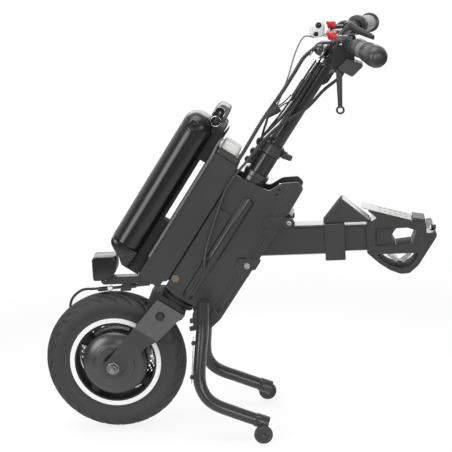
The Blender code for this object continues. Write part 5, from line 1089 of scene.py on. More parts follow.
class HANDBIKE_OT_headlight(bpy.types.Operator):
    """Headlight body with its lens, rim and reflectors"""

    bl_idname = "handbike.headlight"
    bl_label = "Headlight"

    def execute(self, context):
        body = sheet_cut("headlight_body", [(-0.0365, 0.352), (-0.0368, 0.397), (-0.034, 0.402),
            (-0.028, 0.4035), (0.008, 0.4035), (0.0145, 0.4015), (0.0172, 0.396), (0.0172, 0.378),
            (0.015, 0.369), (0.008, 0.36), (-0.006, 0.352), (-0.024, 0.3492), (-0.034, 0.3492)], -0.024, 0.024,
            edge=0.0046, segments=4)
        fit(body, "lamp", "gloss", stands_for="headlight")
        lens = block("headlight_lens", level(-0.0362, 0, 0.3715), (0.0020, 0.036, 0.026), 0.0, 0.0008)
        fit(lens, "lamp", "lens")
        rim = []
        for z in (0.3570, 0.3868):
            rim.append(block("lens_rim", level(-0.0358, 0, z), (0.0028, 0.042, 0.0028), 0.0, 0.0010))
        for y in (-0.0200, 0.0200):
            rim.append(block("lens_rim", level(-0.0358, y, 0.3715), (0.0028, 0.0028, 0.028), 0.0, 0.0010))
        fit(merge("lens_rim", *rim), "lamp", "gloss")
        eyes = []
        for y in (-0.0090, 0.0090):
            eye = lathe("lamp_eye", [(0.0, 0.0), (0.003, 0.0002), (0.0066, 0.0018), (0.0072, 0.0018),
                (0.0072, -0.001), (0.0, -0.001)], level(-0.0352, y, 0.3715), (-1, 0, 0), 32)
            eyes.append(eye)
        fit(merge("lamp_eyes", *eyes), "lamp", "chrome")
        places = [level(-0.013, -0.0181, 0.3455)]
        screws_on("lamp_screw", "lamp", places, (0, -1, 0), 0.0036, 0.0016)
        return {"FINISHED"}


def banded_hose(name, stops, radius, pitch, depth):
    """A hose with a tape wound round it: its radius rises along each turn and drops at the tape's edge."""
    points = run_through(stops, 8)
    total = sum((b - a).length for a, b in zip(points, points[1:]))
    count = max(4, round(total / pitch)) * 4
    places = []
    radii = []
    for step in range(count + 1):
        places.append(along_route(points, step / count)[0])
        swell = (0.0, 0.55, 0.85, 1.0)[step % 4]
        radii.append(1.0 - depth / radius * (1.0 - swell))
    return hose(name, places, radius, 3, radii)


def held_cable(piece, finish, stands_for=None):
    """A cable fixed at both its ends; it gets its finish and its place is baked into its mesh."""
    coat(piece, finish)
    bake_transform(piece)
    return hand_over(piece, stands_for)


class HANDBIKE_OT_cables(bpy.types.Operator):
    """Hoses, wires and conduit, with their splitter, ferrules, sleeves and plug; their clips are made with the
    column
    """

    bl_idname = "handbike.cables"
    bl_label = "Cables"

    def execute(self, context):
        def to(stops):
            return [leaning(*stop) for stop in stops]

        top = [(0.011, -0.015, 0.848), (0.004, -0.018, 0.83), (-0.004, -0.024, 0.805), (-0.004, -0.026, 0.77),
            (-0.004, -0.026, 0.73), (-0.006, -0.026, 0.69)]
        foot = [(-0.006, -0.026, 0.69), (-0.008, -0.026, 0.646), (-0.007, -0.025, 0.6),
            (-0.006, -0.024, 0.565), (-0.0065, -0.024, 0.5453)]
        upper = banded_hose("spiral_hose_top", to(top), 0.0046, 0.0050, 0.0013)
        held_cable(upper, "wrap",
            "spiral_hose")
        lower = banded_hose("spiral_hose_foot", to(foot), 0.0046, 0.0050, 0.0013)
        held_cable(lower, "wrap")

        stand_top = [(0.0742, -0.12, 0.8375), (0.0748, -0.11, 0.82), (0.065, -0.07, 0.776),
            (0.056, -0.048, 0.72), (0.03, -0.042, 0.662), (0.018, -0.04, 0.618), (0.014, -0.04, 0.5983)]
        wire = hose("stand_cable_top", run_through(to(stand_top), 8), 0.0035, 4)
        held_cable(wire, "cable",
            "stand_cable_upper")
        stand_foot = [(0.014, -0.04, 0.598), (0.01, -0.04, 0.556), (0.004, -0.0395, 0.514),
            (0.004, -0.04, 0.47), (0.013, -0.04, 0.428), (0.025, -0.041, 0.38), (0.036, -0.044, 0.34),
            (0.048, -0.045, 0.312), (0.057, -0.0415, 0.296)]
        wire = banded_hose("stand_cable_foot", to(stand_foot), 0.0034, 0.0040, 0.0008)
        held_cable(wire, "wrap",
            "stand_cable_lower")

        run = [(-0.0065, -0.006, 0.8519), (-0.015, -0.006, 0.849), (-0.025, -0.006, 0.843),
            (-0.027, -0.008, 0.828), (-0.023, -0.01, 0.8), (-0.01, -0.014, 0.752), (0.0005, -0.016, 0.7),
            (0.0033, -0.016, 0.679)]
        wire = hose("display_lead", run_through(to(run), 8), 0.0016, 3)
        held_cable(wire, "pale_cable",
            "display_cable")
        wide, narrow = leaning(0.0060, -0.0235, 0.6870), leaning(-0.0050, -0.0250, 0.6560)
        splitter = lathe("cable_splitter", [(0.0, 0.003), (0.0085, 0.003), (0.0092, 0.0), (0.0104, 0.0),
            (0.0108, 0.0016), (0.0104, 0.01), (0.0078, 0.0215), (0.0058, 0.03), (0.005, 0.0335),
            (0.0, 0.0336)], wide, narrow - wide, 40)
        fit(splitter, "steering", "rubber")
        for index, shift in enumerate((0.0, 0.0042)):
            lead = [(0.024 - shift * 2, -0.0218, 0.724), (0.0215 - shift * 2, -0.0225, 0.712),
                (0.014 - shift, -0.0235, 0.7), (0.0085 - shift, -0.024, 0.688), (0.005 - shift, -0.024, 0.68)]
            wire = hose(f"splitter_branch_{index}", run_through(to(lead), 6), 0.0014, 3)
            held_cable(wire, "cable")
        trunk = [(-0.003, -0.0245, 0.66), (0.002, -0.023, 0.644), (0.006, -0.019, 0.627),
            (0.012, -0.0125, 0.608)]
        fit(hose("splitter_lead", run_through(to(trunk), 6), 0.0026, 4), "steering", "cable")

        hoses = [(0.033, -0.0255, 0.83), (0.034, -0.025, 0.79), (0.035, -0.024, 0.74), (0.035, -0.024, 0.69),
            (0.033, -0.025, 0.65), (0.029, -0.025, 0.625), (0.02, -0.019, 0.61)]
        wire = hose("column_hose", run_through(to(hoses), 8), 0.0030, 4)
        held_cable(wire, "cable",
            "column_hoses")
        for index, (shift, start_u) in enumerate(((-0.0050, 0.822), (-0.0115, 0.815))):
            side_run = [(0.033 + shift, -0.0225 + shift * 0.1, start_u), (0.032 + shift, -0.0215, 0.78),
                (0.0325 + shift, -0.021, 0.73), (0.03 + shift, -0.02, 0.68),
                (0.02 + shift * 0.5, -0.018, 0.64), (0.011, -0.014, 0.612)]
            wire = hose(f"column_lead_{index}", run_through(to(side_run), 8), 0.0030 - 0.0008 * index, 4)
            held_cable(wire, "cable")
            sleeve = round_bar(f"lead_sleeve_{index}", leaning(0.0325 + shift, -0.0212, 0.785 - index * 0.02),
                leaning(0.0323 + shift, -0.0212, 0.722), 0.0042, 20, 0.0008)
            fit(sleeve, "handlebars", "plastic")
        ferrules = []
        ends = ((0.0255, -0.0228, 0.823), (0.018, -0.0235, 0.816), (0.033, -0.0255, 0.828),
            (0.004, -0.0195, 0.826))
        for v, y, u in ends:
            ferrules.append(round_bar("hose_ferrule", leaning(v, y, u), leaning(v - 0.0003, y, u - 0.011),
                0.0031, 16, 0.0006))
        fit(merge("hose_ferrules", *ferrules), "handlebars", "chrome")

        motor = [(-0.0162, 0.0000, 0.3245), (-0.04, 0.005, 0.3235), (-0.072, 0.022, 0.316),
            (-0.1, 0.043, 0.288), (-0.106, 0.06, 0.25), (-0.085, 0.082, 0.208), (-0.045, 0.098, 0.176),
            (-0.016, 0.101, 0.163), (-0.002, 0.096, 0.159), (0.0000, 0.0859, 0.159)]
        stops = [level(*stop) for stop in motor]
        wire = hose("motor_lead", run_through(stops, 8), 0.0030, 4)
        held_cable(wire, "cable", "motor_cable")
        ahead = Vector((-1.0, 0.0, -0.0685)).normalized()
        start = level(0.0860, 0.0, 0.3315)
        collar = round_bar("plug_sleeve_white", start + ahead * 0.0835, start + ahead * 0.0948, 0.0058, 28,
            0.001)
        fit(collar, "frame", "white")
        sleeve = round_bar("plug_sleeve_black", start + ahead * 0.0948, start + ahead * 0.1175, 0.0052, 28,
            0.0012)
        fit(sleeve, "frame", "plastic")
        for index, (y, z) in enumerate(((-0.0022, 0.0016), (0.0020, -0.0004), (-0.0004, 0.0034))):
            stops = [level(0.04, y * 0.5, 0.329), level(0.06, y, 0.3308 + z * 0.6), level(0.09, y, 0.3325 + z)]
            wire = hose(f"plug_wire_{index}", run_through(stops, 6), 0.0011, 3)
            fit(wire, "frame", "bronze" if index < 2 else "cable")

        # The conduit's grey finish paints the sheen of light along its ribs.
        conduit = [(-0.0606, -0.0348, 0.255), (-0.0606, -0.0348, 0.32), (-0.0606, -0.0348, 0.4),
            (-0.0606, -0.0348, 0.46), (-0.0606, -0.0348, 0.52), (-0.0625, -0.031, 0.543),
            (-0.062, -0.027, 0.556), (-0.059, -0.023, 0.566)]
        piece = banded_hose("beam_hose", to(conduit), 0.0034, 0.0044, 0.0014)
        fit(piece, "frame", "conduit_sheen", stands_for="beam_conduit")
        return {"FINISHED"}


class HANDBIKE_OT_column(bpy.types.Operator):
    """Column with its stem and button, the steerer's clips and the upper bearing"""

    bl_idname = "handbike.column"
    bl_label = "Column"

    def execute(self, context):
        bar_u = BAR_X * math.sin(LEAN) + (BAR_Z - AXLE_Z) * math.cos(LEAN)
        bar_v = BAR_X * math.cos(LEAN) - (BAR_Z - AXLE_Z) * math.sin(LEAN)
        foot = leaning(STEER_V, 0, 0)
        tube = lathe("column_upper", [(0.0, bar_u + 0.0078), (0.013, bar_u + 0.0078), (0.015, bar_u + 0.0066),
            (0.0203, bar_u - 0.006), (0.0205, bar_u - 0.008), (0.0205, 0.8165), (0.0203, 0.8158),
            (0.0194, 0.815), (0.017, 0.8145), (0.017, 0.4602), (0.0153, 0.4602), (0.0153, 0.843),
            (0.0, 0.843)], foot, FORK_UP, 72, sharp=28)
        clamp = round_bar("bar_clamp", leaning(bar_v, -0.024, bar_u), leaning(bar_v, 0.024, bar_u), 0.0176, 56,
            0.0014)
        step = sheet_cut("column_step", [(STEER_V + 0.012, 0.775), (STEER_V + 0.012, 0.8205),
            (STEER_V + 0.0245, 0.8205), (STEER_V + 0.0245, 0.786), (STEER_V + 0.0185, 0.775)], -0.01, 0.01,
            leans=True, edge=0.001)
        column = merge("column_upper", tube, clamp, step)
        smooth_by(column, 28)
        fit(column, "handlebars", "satin_tube", stands_for="column_tube")
        button = lathe("horn_button", [(0.0, 0.0212), (0.0078, 0.0212), (0.0086, 0.0206), (0.0096, 0.0186),
            (0.0096, 0.0062), (0.0081, 0.0042), (0.0081, -0.002), (0.0, -0.002)],
            level(0.4885, -0.001, 0.8195), (0, -1, 0), 40)
        fit(button, "handlebars", "gloss")
        rim = lathe("horn_rim", [(0.0086, 0.0196), (0.0098, 0.019), (0.0101, 0.016), (0.0097, 0.015),
            (0.0092, 0.016)], level(0.4885, -0.001, 0.8195), (0, -1, 0), 40, closed=True)
        fit(rim, "handlebars", "chrome")
        screws = [leaning(bar_v - 0.008, -0.0245, bar_u + 0.012),
            leaning(bar_v + 0.008, -0.0245, bar_u - 0.012)]
        screws_on("stem_screws", "handlebars", screws, (0, -1, 0), 0.0022, 0.0008, "steel")
        socket = lathe("steerer_socket", [(0.0173, 0.5858), (0.0214, 0.5858), (0.0225, 0.5846),
            (0.0225, 0.1996), (0.0173, 0.1996)], foot, FORK_UP, 64, closed=True, sharp=28)
        strip = sheet_cut("clip_strip", [(0.01, 0.5462), (0.013, 0.6078), (0.0215, 0.6078), (0.0215, 0.5862),
            (0.025, 0.5862), (0.025, 0.5462)], -0.007, 0.001, leans=True, edge=0.0008)
        clips = []
        for v, u, radius in ((0.0152, 0.6004, 0.0105), (0.0130, 0.5745, 0.0086), (0.0118, 0.5530, 0.0080)):
            clips.append(lathe("cable_clip", [(0.0, 0.0), (radius - 0.001, 0.0), (radius, 0.001),
                (radius, 0.0105), (radius - 0.0015, 0.0119), (radius * 0.62, 0.012), (radius * 0.55, 0.0104),
                (0.0, 0.0104)], leaning(v, -0.004, u), (0, -1, 0), 36))
        steerer = merge("steerer_socket", socket, strip, *clips)
        smooth_by(steerer, 28)
        fit(steerer, "steering", "satin_tube", stands_for="steerer_tube")
        bands = []
        for low, high, radius in ((0.5306, 0.5348, 0.0286), (0.5356, 0.5392, 0.0278)):
            shape = eased_ring(0.0230, low, high, radius, 0.0005)
            bands.append(lathe("upper_bearing_ring", shape, foot, FORK_UP, 64, closed=True))
        fit(merge("upper_bearing_rings", *bands), "frame", "dark_steel")
        return {"FINISHED"}


class HANDBIKE_OT_handlebar(bpy.types.Operator):
    """Grips, brake levers, parking catches, strap, display and bell"""

    bl_idname = "handbike.handlebar"
    bl_label = "Handlebar"

    def execute(self, context):
        inner = Vector((0.562, 0.175, 0.866))
        end = Vector((0.600, 0.285, 0.858))
        span = (end - inner).normalized()
        length = (end - inner).length
        bore = 0.01155
        nose = length + 0.004
        left_along = Vector((span.x, -span.y, span.z))
        left_start = level(inner.x, -inner.y, inner.z)
        flange = [(bore, 0.006), (0.0186, 0.006), (0.0196, 0.007), (0.019, 0.015), (0.018, 0.028),
            (bore, 0.028)]
        flange = lathe("grip_near_flange", flange, left_start, left_along, 64, closed=True, sharp=50)
        fit(flange, "handlebars", "grip")
        band = [(bore, 0.0284), (0.0172, 0.0284), (0.0178, 0.0292)]
        for index in range(9):
            at = 0.0300 + index * 0.0027
            band += [(0.0179 + index * 0.0001, at), (0.0175 + index * 0.0001, at + 0.0009),
                (0.0179 + index * 0.0001, at + 0.0018)]
        band += [(0.0188, 0.0548), (bore, 0.0548)]
        band = lathe("grip_near_band", band, left_start, left_along, 64, closed=True, sharp=50)
        fit(band, "handlebars", "grey_band")
        shape = [(0.0, length - 0.0018), (bore, length - 0.0018), (bore, 0.0552), (0.0192, 0.0552)]
        for index in range(3):
            at = 0.0558 + index * 0.0070
            shape += [(0.0202, at + 0.0006), (0.0205, at + 0.0022), (0.0202, at + 0.0038),
                (0.0188, at + 0.0046), (0.0188, at + 0.006)]
        shape += [(0.0204, 0.0772), (0.0214, 0.079), (0.0221, 0.083), (0.0225, 0.088), (0.0225, nose - 0.023),
            (0.0221, nose - 0.017), (0.021, nose - 0.0115), (0.019, nose - 0.0068), (0.016, nose - 0.0032),
            (0.0118, nose - 0.001), (0.006, nose - 0.0002), (0.0, nose)]
        grip = lathe("grip_near", shape, left_start, left_along, 64, sharp=50)
        fit(grip, "handlebars", "grip", stands_for="grip_left")
        before = Vector((0.542, -0.115, 0.859))
        foot = level(*before.lerp(Vector((inner.x, -inner.y, inner.z)), 0.62))
        cuff = [(0.0116, 0.0), (0.015, 0.0), (0.0158, 0.001), (0.0162, 0.011), (0.0158, 0.019),
            (0.0166, 0.0235), (0.016, 0.0275), (0.0116, 0.0275)]
        cuff = lathe("grip_cuff", cuff, foot, left_start - foot, 48, closed=True, sharp=50)
        fit(cuff, "handlebars", "rubber")

        right_start = level(inner.x, inner.y, inner.z)
        housing = [(bore, 0.016), (0.021, 0.016), (0.0224, 0.0172), (0.0225, 0.03), (0.0212, 0.0322),
            (bore, 0.0322)]
        housing = lathe("throttle_housing", housing, right_start, span, 64, closed=True, sharp=40)
        fit(housing, "throttle", "grip")
        shape = [(0.0, length - 0.0018), (bore, length - 0.0018), (bore, 0.0326), (0.019, 0.0326),
            (0.0204, 0.0336), (0.0206, 0.0446)]
        shape += [(0.0196, 0.0462)]
        for index in range(9):
            at = 0.0490 + index * 0.0056
            shape += [(0.0178, at), (0.0168, at + 0.0012), (0.0168, at + 0.0024), (0.0178, at + 0.0036)]
        shape += [(0.0172, nose - 0.0150), (0.0172, nose - 0.0120), (0.0, nose - 0.0120)]
        grip = lathe("grip_far", shape, right_start, span, 64, sharp=40)
        fit(grip, "throttle", "pale_grip", stands_for="throttle_grip")
        rim = [(0.0, nose - 0.0116), (0.0206, nose - 0.0116), (0.0216, nose - 0.0108), (0.0206, nose - 0.009),
            (0.0224, nose - 0.0078)]
        rim += [(0.0225, nose - 0.0044), (0.0214, nose - 0.0018), (0.0170, nose - 0.0002), (0.0, nose)]
        fit(lathe("grip_far_rim", rim, right_start, span, 64, sharp=40), "throttle", "grip")

        levers = {"left": ([(0.529, 0.138, 0.888), (0.539, 0.142, 0.9), (0.5505, 0.15, 0.905),
            (0.567, 0.182, 0.8988), (0.583, 0.212, 0.8947), (0.592, 0.23, 0.8917)],
            (0.0056, 0.0068, 0.008, 0.0079, 0.0069, 0.0051), 0.62),
            "right": ([(0.5206, 0.1435, 0.869), (0.5246, 0.16, 0.869), (0.5322, 0.19, 0.8685),
            (0.541, 0.212, 0.8675), (0.548, 0.228, 0.8665)], (0.0042, 0.0056, 0.007, 0.0066, 0.0052), 0.48)}
        # Foot of the catch, places of the cap and the keel under it, and of the lever's pivot
        perches = {"left": (0.879, 0.5065, 0.508, 0.8757, (0.529, 0.8858)),
            "right": (0.869, 0.52, 0.52, 0.864, (0.52, 0.8742))}
        for label, side in SIDES:
            stops, widths, thin = levers[label]
            route = run_through([level(x, side * y, z) for x, y, z in stops], 6)
            lever = hose(f"brake_blade_{label}", route, 0.0042, 4)
            for vert in lever.data.vertices:
                nearest = min(range(len(route)), key=lambda index: (route[index] - vert.co).length_squared)
                share = nearest / (len(route) - 1) * (len(widths) - 1)
                low = min(int(share), len(widths) - 2)
                wide = widths[low] + (widths[low + 1] - widths[low]) * (share - low)
                off = vert.co - route[nearest]
                vert.co = route[nearest] + Vector((off.x * thin, off.y * 0.8, off.z * wide / 0.0042))
            lever.data.update()
            fit(lever, f"{label}_brake", "powder", stands_for=f"brake_lever_{label}")
            low, high = sorted((side * 0.1210, side * 0.1390))
            catch_z, cap_x, keel_x, cap_z, (bolt_x, bolt_z) = perches[label]
            foot = catch_z + 0.0008
            outline = [(0.503, -0.0016), (0.5016, 0.007), (0.4988, 0.0118), (0.5, 0.0138), (0.504, 0.0142),
                (0.5056, 0.0131)]
            outline += [(0.5200, 0.0131), (0.5206, 0.0090), (0.5202, -0.0016)]
            catch = sheet_cut(f"parking_catch_{label}", [(x, foot + z) for x, z in outline], low, high,
                edge=0.0012)
            fit(catch, "handlebars", "red")
            cap = block(f"perch_cap_{label}", level(cap_x, side * 0.1262, cap_z), (0.042, 0.009, 0.005), 0.0,
                0.0014)
            fit(cap, "handlebars", "alloy")
            under = block(f"perch_keel_{label}", level(keel_x, side * 0.1255, cap_z - 0.0052),
                (0.036, 0.0086, 0.0052), 0.0, 0.0012)
            fit(under, "handlebars", "plastic")
            bolt = level(bolt_x, side * 0.1385, bolt_z)
            screws_on(f"lever_pivot_{label}", "handlebars", [bolt], (0, 0, 1), 0.0040, 0.0014, "steel")
        housing = sheet_cut("lever_housing_left", [(0.53, 0.866), (0.53, 0.875), (0.538, 0.88), (0.545, 0.888),
            (0.556, 0.888), (0.56, 0.878), (0.56, 0.864), (0.542, 0.86)], -0.147, -0.128, edge=0.0016,
            segments=1)
        smooth_by(housing, 10)
        fit(housing, "handlebars", "matt")
        arm = round_bar("lever_foot_left", level(0.5175, -0.133, 0.86), level(0.53, -0.137, 0.888), 0.0042, 20,
            0.0012, 0.0032)
        fit(arm, "handlebars", "powder")
        glints = [round_bar("adjuster", level(0.538, -0.124, 0.874), level(0.545, -0.133, 0.869), 0.003, 20,
            0.0008)]
        glints.append(round_bar("adjuster", level(0.53, -0.121, 0.878), level(0.5372, -0.1235, 0.8745), 0.0022,
            20, 0.0006))
        fit(merge("brake_adjusters", *glints), "handlebars", "chrome")

        bracket = sheet_cut("release_bracket", [(0.515, 0.865), (0.544, 0.864), (0.553, 0.852), (0.556, 0.835),
            (0.542, 0.83), (0.54, 0.818), (0.5289, 0.8158), (0.5145, 0.8085), (0.5089, 0.8311)], -0.137,
            -0.119, edge=0.0016, segments=1)
        smooth_by(bracket, 10)
        fit(bracket, "handlebars", "matt")

        middle = Vector((0.5225, -0.140, 0.7402))
        strap = sheet_cut("strap_band", [(middle.x - 0.0064, 0.819), (middle.x - 0.006, 0.79),
            (middle.x - 0.0052, 0.762), (middle.x - 0.0046, middle.z - 0.003),
            (middle.x + 0.0046, middle.z - 0.003), (middle.x + 0.0052, 0.762), (middle.x + 0.006, 0.79),
            (middle.x + 0.0064, 0.813)], middle.y - 0.0016, middle.y + 0.0016, edge=0.0009)
        loop = lathe("strap_loop", [(0.005, -0.0012), (0.0054, -0.0022), (0.0072, -0.0026), (0.0088, -0.002),
            (0.0092, 0.0), (0.0088, 0.002), (0.0072, 0.0026), (0.0054, 0.0022), (0.005, 0.0012)],
            level(middle.x, middle.y, middle.z - 0.0075), (0, -1, 0), 48, closed=True, sharp=60)
        strap = merge("strap_band", strap, loop)
        smooth_by(strap, 45)
        fit(strap, "handlebars", "rubber", stands_for="pull_strap")

        pads = []
        body = sheet_cut("display_body", [(0.4729, 0.8672), (0.4708, 0.8797), (0.4749, 0.8975),
            (0.4802, 0.9015), (0.4886, 0.9015), (0.493, 0.8962), (0.4945, 0.8839), (0.4917, 0.8693)], -0.0192,
            0.0192, edge=0.003, segments=4)
        fit(body, "handlebars", "white")
        for x, z, size in ((0.4833, 0.8940, 1.05), (0.4775, 0.8760, 0.84)):
            pad = lathe("display_pad", [(0.0, 0.0026), (0.0034 * size, 0.0022), (0.0056 * size, 0.001),
                (0.0064 * size, 0.0), (0.0066 * size, -0.001), (0.0, -0.001)], level(x, -0.019, z), (0, -1, 0),
                32)
            pads.append(pad)
        fit(merge("display_pads", *pads), "handlebars", "gloss")
        bell = lathe("bell_dome", [(0.0, 0.0168), (0.003, 0.0166), (0.0064, 0.0155), (0.0095, 0.0134),
            (0.0119, 0.0106), (0.0136, 0.0072), (0.0144, 0.0036), (0.0145, 0.0004), (0.013, -0.0002),
            (0.0062, -0.0018), (0.0061, -0.0084), (0.0, -0.0084)], level(0.488, -0.0245, 0.844),
            (-0.8, -0.35, 0.3), 56, sharp=40)
        foot = round_bar("bell_foot", level(0.49, -0.0185, 0.8462), level(0.5022, -0.0185, 0.8462), 0.0035, 20,
            0.0004)
        bell = merge("bell_dome", bell, foot)
        smooth_by(bell, 40)
        fit(bell, "handlebars", "dark_steel", stands_for="bell")
        rim = lathe("bell_rim", [(0.0124, -0.0012), (0.0147, -0.001), (0.0149, 0.0006), (0.0147, 0.0022),
            (0.0143, 0.0024), (0.0124, 0.001)], level(0.488, -0.0245, 0.844), (-0.8, -0.35, 0.3), 56,
            closed=True, sharp=50)
        fit(rim, "handlebars", "alloy")
        return {"FINISHED"}


class HANDBIKE_OT_stand(bpy.types.Operator):
    """Legs and feet of the stand, and the wire on the near leg"""

    bl_idname = "handbike.stand"
    bl_label = "Stand"

    def execute(self, context):
        bends = [(0.21, 0.069, 0.308), (0.2085, 0.07, 0.29), (0.207, 0.0722, 0.27), (0.205, 0.075, 0.248),
            (0.198, 0.086, 0.19), (0.194, 0.0935, 0.15), (0.196, 0.0985, 0.123), (0.208, 0.105, 0.0985),
            (0.229, 0.11, 0.082), (0.262, 0.112, 0.068), (0.29, 0.112, 0.0565), (0.318, 0.112, 0.0455),
            (0.3395, 0.112, 0.0369)]
        for label, side in SIDES:
            route = run_through([level(x, side * y, z) for x, y, z in bends], 5)
            leg = hose(f"leg_tube_{label}", route, 0.0139, 7)
            along = (route[-1] - route[-4]).normalized()
            cuff = round_bar("leg_cuff", route[-1] - along * 0.028, route[-1] + along * 0.002, 0.0155, 48,
                0.0012)
            ear = sheet_cut("foot_ear", [(0.321, 0.046), (0.3235, 0.0205), (0.3262, 0.015), (0.331, 0.013),
                (0.3358, 0.015), (0.3385, 0.0205), (0.343, 0.04)], *sorted((side * 0.12, side * 0.1295)),
                edge=0.0008)
            pin = round_bar("foot_pin", level(0.331, side * 0.122, 0.0205),
                level(0.331, side * 0.1428, 0.0205), 0.0035, 24, 0.0004)
            leg = merge(f"leg_tube_{label}", leg, cuff, ear, pin)
            smooth_by(leg, 40)
            fit(leg, "stand", "satin_tube", stands_for=f"stand_leg_{label}")
        wire = round_bar("stand_wire", level(0.1846, -0.076, 0.232), level(0.176, -0.095, 0.128), 0.0011, 12)
        fit(wire, "stand", "steel")
        clamps = []
        for x, y, z in ((0.1835, -0.0790, 0.2165), (0.1775, -0.0930, 0.1425)):
            clamps.append(lathe("wire_clamp", [(0.0, -0.0045), (0.004, -0.0045), (0.0046, -0.0035),
                (0.0046, 0.0035), (0.004, 0.0045), (0.0, 0.0045)], level(x, y, z), (0, 1, 0), 24))
            clamps.append(round_bar("wire_clamp", level(x, y + 0.002, z), level(x + 0.011, y + 0.004, z),
                0.0028, 16, 0.0006))
        fit(merge("wire_clamps", *clamps), "stand", "plastic")
        for label, side in SIDES:
            wheel_y = 0.112 + 0.014 + 0.0045 - 0.001 + 0.0003
            thick = 0.012
            wheel = lathe(f"foot_roller_{label}", [(0.004, 0.0003), (0.0168, 0.0003), (0.0186, 0.0006),
                (0.02, 0.0018), (0.0205, 0.0036), (0.0205, thick - 0.0036), (0.02, thick - 0.0018),
                (0.0186, thick - 0.0005), (0.017, thick), (0.0128, thick), (0.0118, thick - 0.0006),
                (0.0112, thick - 0.0018), (0.007, thick - 0.0018), (0.0064, thick - 0.0014),
                (0.004, thick - 0.0014)], level(0.331, side * wheel_y, 0.0205), (0, side, 0), 56, closed=True)
            fit(wheel, f"{label}_foot", "rubber", stands_for=f"foot_wheel_{label}")
            places = [level(0.331, side * (wheel_y + thick + 0.0006), 0.0205)]
            screws_on(f"foot_screw_{label}", "stand", places, (0, side, 0), 0.0036, 0.0012)
        return {"FINISHED"}


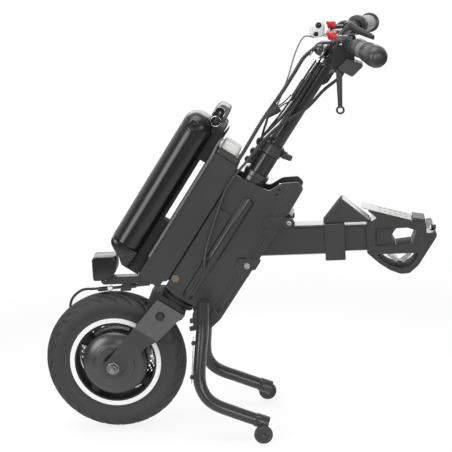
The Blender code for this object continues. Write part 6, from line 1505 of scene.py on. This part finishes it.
class HANDBIKE_OT_arm_fittings(bpy.types.Operator):
    """Welds, rivets, wedge, knob, liner and dark lines of the docking arm and cradle; the dark lines and matt
    sheets paint shade under the arm's top, in the recess, slots and window, and on the wedge's front slope.
    """

    bl_idname = "handbike.arm_fittings"
    bl_label = "Arm fittings"

    def execute(self, context):
        for label, side in SIDES:
            beads = []
            for index in range(15):
                place = level(0.5716 - 0.0004 * (index % 2), side * 0.0190, 0.4015 + index * 0.0037)
                bead = lathe("weld_bead", [(0.003, -0.002), (0.0031, 0.0), (0.0022, 0.0014), (0.0, 0.0018)],
                    place, (0, side, 0), 10)
                beads.append(bead)
            fit(merge(f"weld_{label}", *beads), "cradle", "gloss")
            rivets = [level(0.492, side * 0.0270, 0.3835), level(0.513, side * 0.0270, 0.3835)]
            screws_on(f"sleeve_rivets_{label}", "arm", rivets, (0, side, 0), 0.0022, 0.001, "dark_steel", False)
            # Matt lines paint the shade in the step round the cradle's recess.
            lines = [dark_line("recess_shade_line", 0.5906, side * 0.027, 0.4285, (0.0024, 0.0006, 0.04), 0.0002),
                dark_line("recess_shade_line", 0.609, side * 0.027, 0.448, (0.036, 0.0006, 0.0024), 0.0002),
                dark_line("recess_shade_line", 0.613, side * 0.027, 0.409, (0.044, 0.0006, 0.0024), 0.0002)]
            fit(merge(f"recess_shade_lines_{label}", *lines), "cradle", "matt")
            # Matt strips below the arm's rounded top paint its dark band of shade and of the horizon's
            # reflection.
            shade = [dark_line("arm_shade", 0.446, side * 0.023, 0.4545, (0.062, 0.0008, 0.0036), 0.0003),
                dark_line("arm_shade", 0.546, side * 0.023, 0.4545, (0.038, 0.0008, 0.0036), 0.0003)]
            fit(merge(f"arm_shades_{label}", *shade), "arm", "matt")
            places = [level(0.690, side * 0.0270, 0.4200), level(0.5835, side * 0.0270, 0.4560)]
            screws_on(f"cradle_screws_{label}", "cradle", places, (0, side, 0), 0.0044, 0.0014)
            places = [level(0.404, side * 0.0412, 0.471)]
            screws_on(f"arm_pin_end_{label}", "arm", places, (0, side, 0), 0.0052, 0.0012, "steel", False)
        knob = round_bar("hook_knob", level(0.712, -0.005, 0.442), level(0.7225, -0.005, 0.442), 0.005, 28,
            0.0014)
        fit(knob, "hook", "plastic")
        ramp = [(0.4784, 0.4623), (0.4784, 0.464), (0.5196, 0.5145), (0.5225, 0.5145), (0.579, 0.466),
            (0.574, 0.4623)]
        wedge = smooth_by(sheet_cut("ramp_body", ramp, -0.020, 0.020, edge=0.0007, segments=1), 10)
        fit(wedge, "arm", "powder", stands_for="ramp_wedge")
        pale = sheet_cut("ramp_strip", [(0.5226, 0.5152), (0.5793, 0.4666), (0.5786, 0.4658),
            (0.5219, 0.5144)], -0.0198, 0.0198, edge=0.0002)
        fit(pale, "arm", "white")
        # A matt sheet on the wedge's front slope paints its shade.
        shade = sheet_cut("ramp_front_shade", [(0.478, 0.4644), (0.519, 0.515), (0.5196, 0.5143),
            (0.4787, 0.4636)], -0.0198, 0.0198, edge=0.0002)
        fit(shade, "arm", "matt")
        rim = [(0.5935, 0.3885), (0.601, 0.3785), (0.61, 0.3708), (0.619, 0.3652), (0.631, 0.3598),
            (0.643, 0.3572)]
        rim += [(0.653, 0.3588), (0.662, 0.3612), (0.67, 0.3672), (0.677, 0.3752), (0.6805, 0.384),
            (0.6815, 0.3885)]
        outer = [(x + (x - 0.637) * 0.02, z + (z - 0.392) * 0.02) for x, z in rim]
        inner = [(x - (x - 0.637) * 0.03, z - (z - 0.392) * 0.03) for x, z in reversed(rim)]
        liner = smooth_by(sheet_cut("crescent_liner", outer + inner, -0.0264, 0.0264), 30)
        fit(liner, "cradle", "matt")
        down = math.atan((0.4905 - 0.4620) / (0.6700 - 0.5730))
        # Matt blocks under the guide strip's slots paint the shade seen through them.
        inserts = []
        for y in (-0.011, 0.011):
            for index in range(6):
                reach = 0.02975 + index * 0.0115
                across = math.cos(down) * reach + math.sin(down) * SLOT_LIFT
                up = SLOT_LIFT * math.cos(down) - math.sin(down) * reach
                inserts.append(block("slot_shadow", level(0.573 + across, y, 0.4915 + up),
                    (0.0075, 0.0032, 0.002), down, 0.0002, 1))
        fit(merge("slot_shadows", *inserts), "cradle", "matt")
        # A matt sheet paints the shade on the lower inner face of the cradle's window.
        lower_face_shade = sheet_cut("window_lower_face_shade", [(0.635, 0.4089), (0.6352, 0.4098), (0.6686, 0.4133),
            (0.6688, 0.4124)], -0.0266, 0.0266, edge=0.0002)
        fit(lower_face_shade, "cradle", "matt")
        return {"FINISHED"}


OPERATORS = (HANDBIKE_OT_stage, HANDBIKE_OT_coat_nodes, HANDBIKE_OT_tyre, HANDBIKE_OT_wheel, HANDBIKE_OT_axle,
    HANDBIKE_OT_fork_fittings, HANDBIKE_OT_plate_fittings, HANDBIKE_OT_plate_lines, HANDBIKE_OT_battery,
    HANDBIKE_OT_lock, HANDBIKE_OT_headlight, HANDBIKE_OT_cables, HANDBIKE_OT_column, HANDBIKE_OT_handlebar,
    HANDBIKE_OT_stand, HANDBIKE_OT_arm_fittings)


class HANDBIKE_PT_panel(bpy.types.Panel):
    """The handbike's pieces in the order they are fitted"""

    bl_idname = "HANDBIKE_PT_panel"
    bl_label = "Handbike"
    bl_space_type = "VIEW_3D"
    bl_region_type = "UI"
    bl_category = "Handbike"

    def draw(self, context):
        for operator in OPERATORS:
            self.layout.operator(operator.bl_idname)


CLASSES = (HandbikeSizes, HandbikeFinishes, *OPERATORS, HANDBIKE_PT_panel)


def register():
    for cls in CLASSES:
        bpy.utils.register_class(cls)
    bpy.types.Scene.handbike_sizes = bpy.props.PointerProperty(type=HandbikeSizes)
    bpy.types.Scene.handbike_finishes = bpy.props.PointerProperty(type=HandbikeFinishes)


def unregister():
    del bpy.types.Scene.handbike_sizes
    del bpy.types.Scene.handbike_finishes
    for cls in reversed(CLASSES):
        bpy.utils.unregister_class(cls)


def main():
    register()
    for operator in OPERATORS:
        family, call = operator.bl_idname.split(".")
        getattr(getattr(bpy.ops, family), call)()


if __name__ == "__main__":
    main()
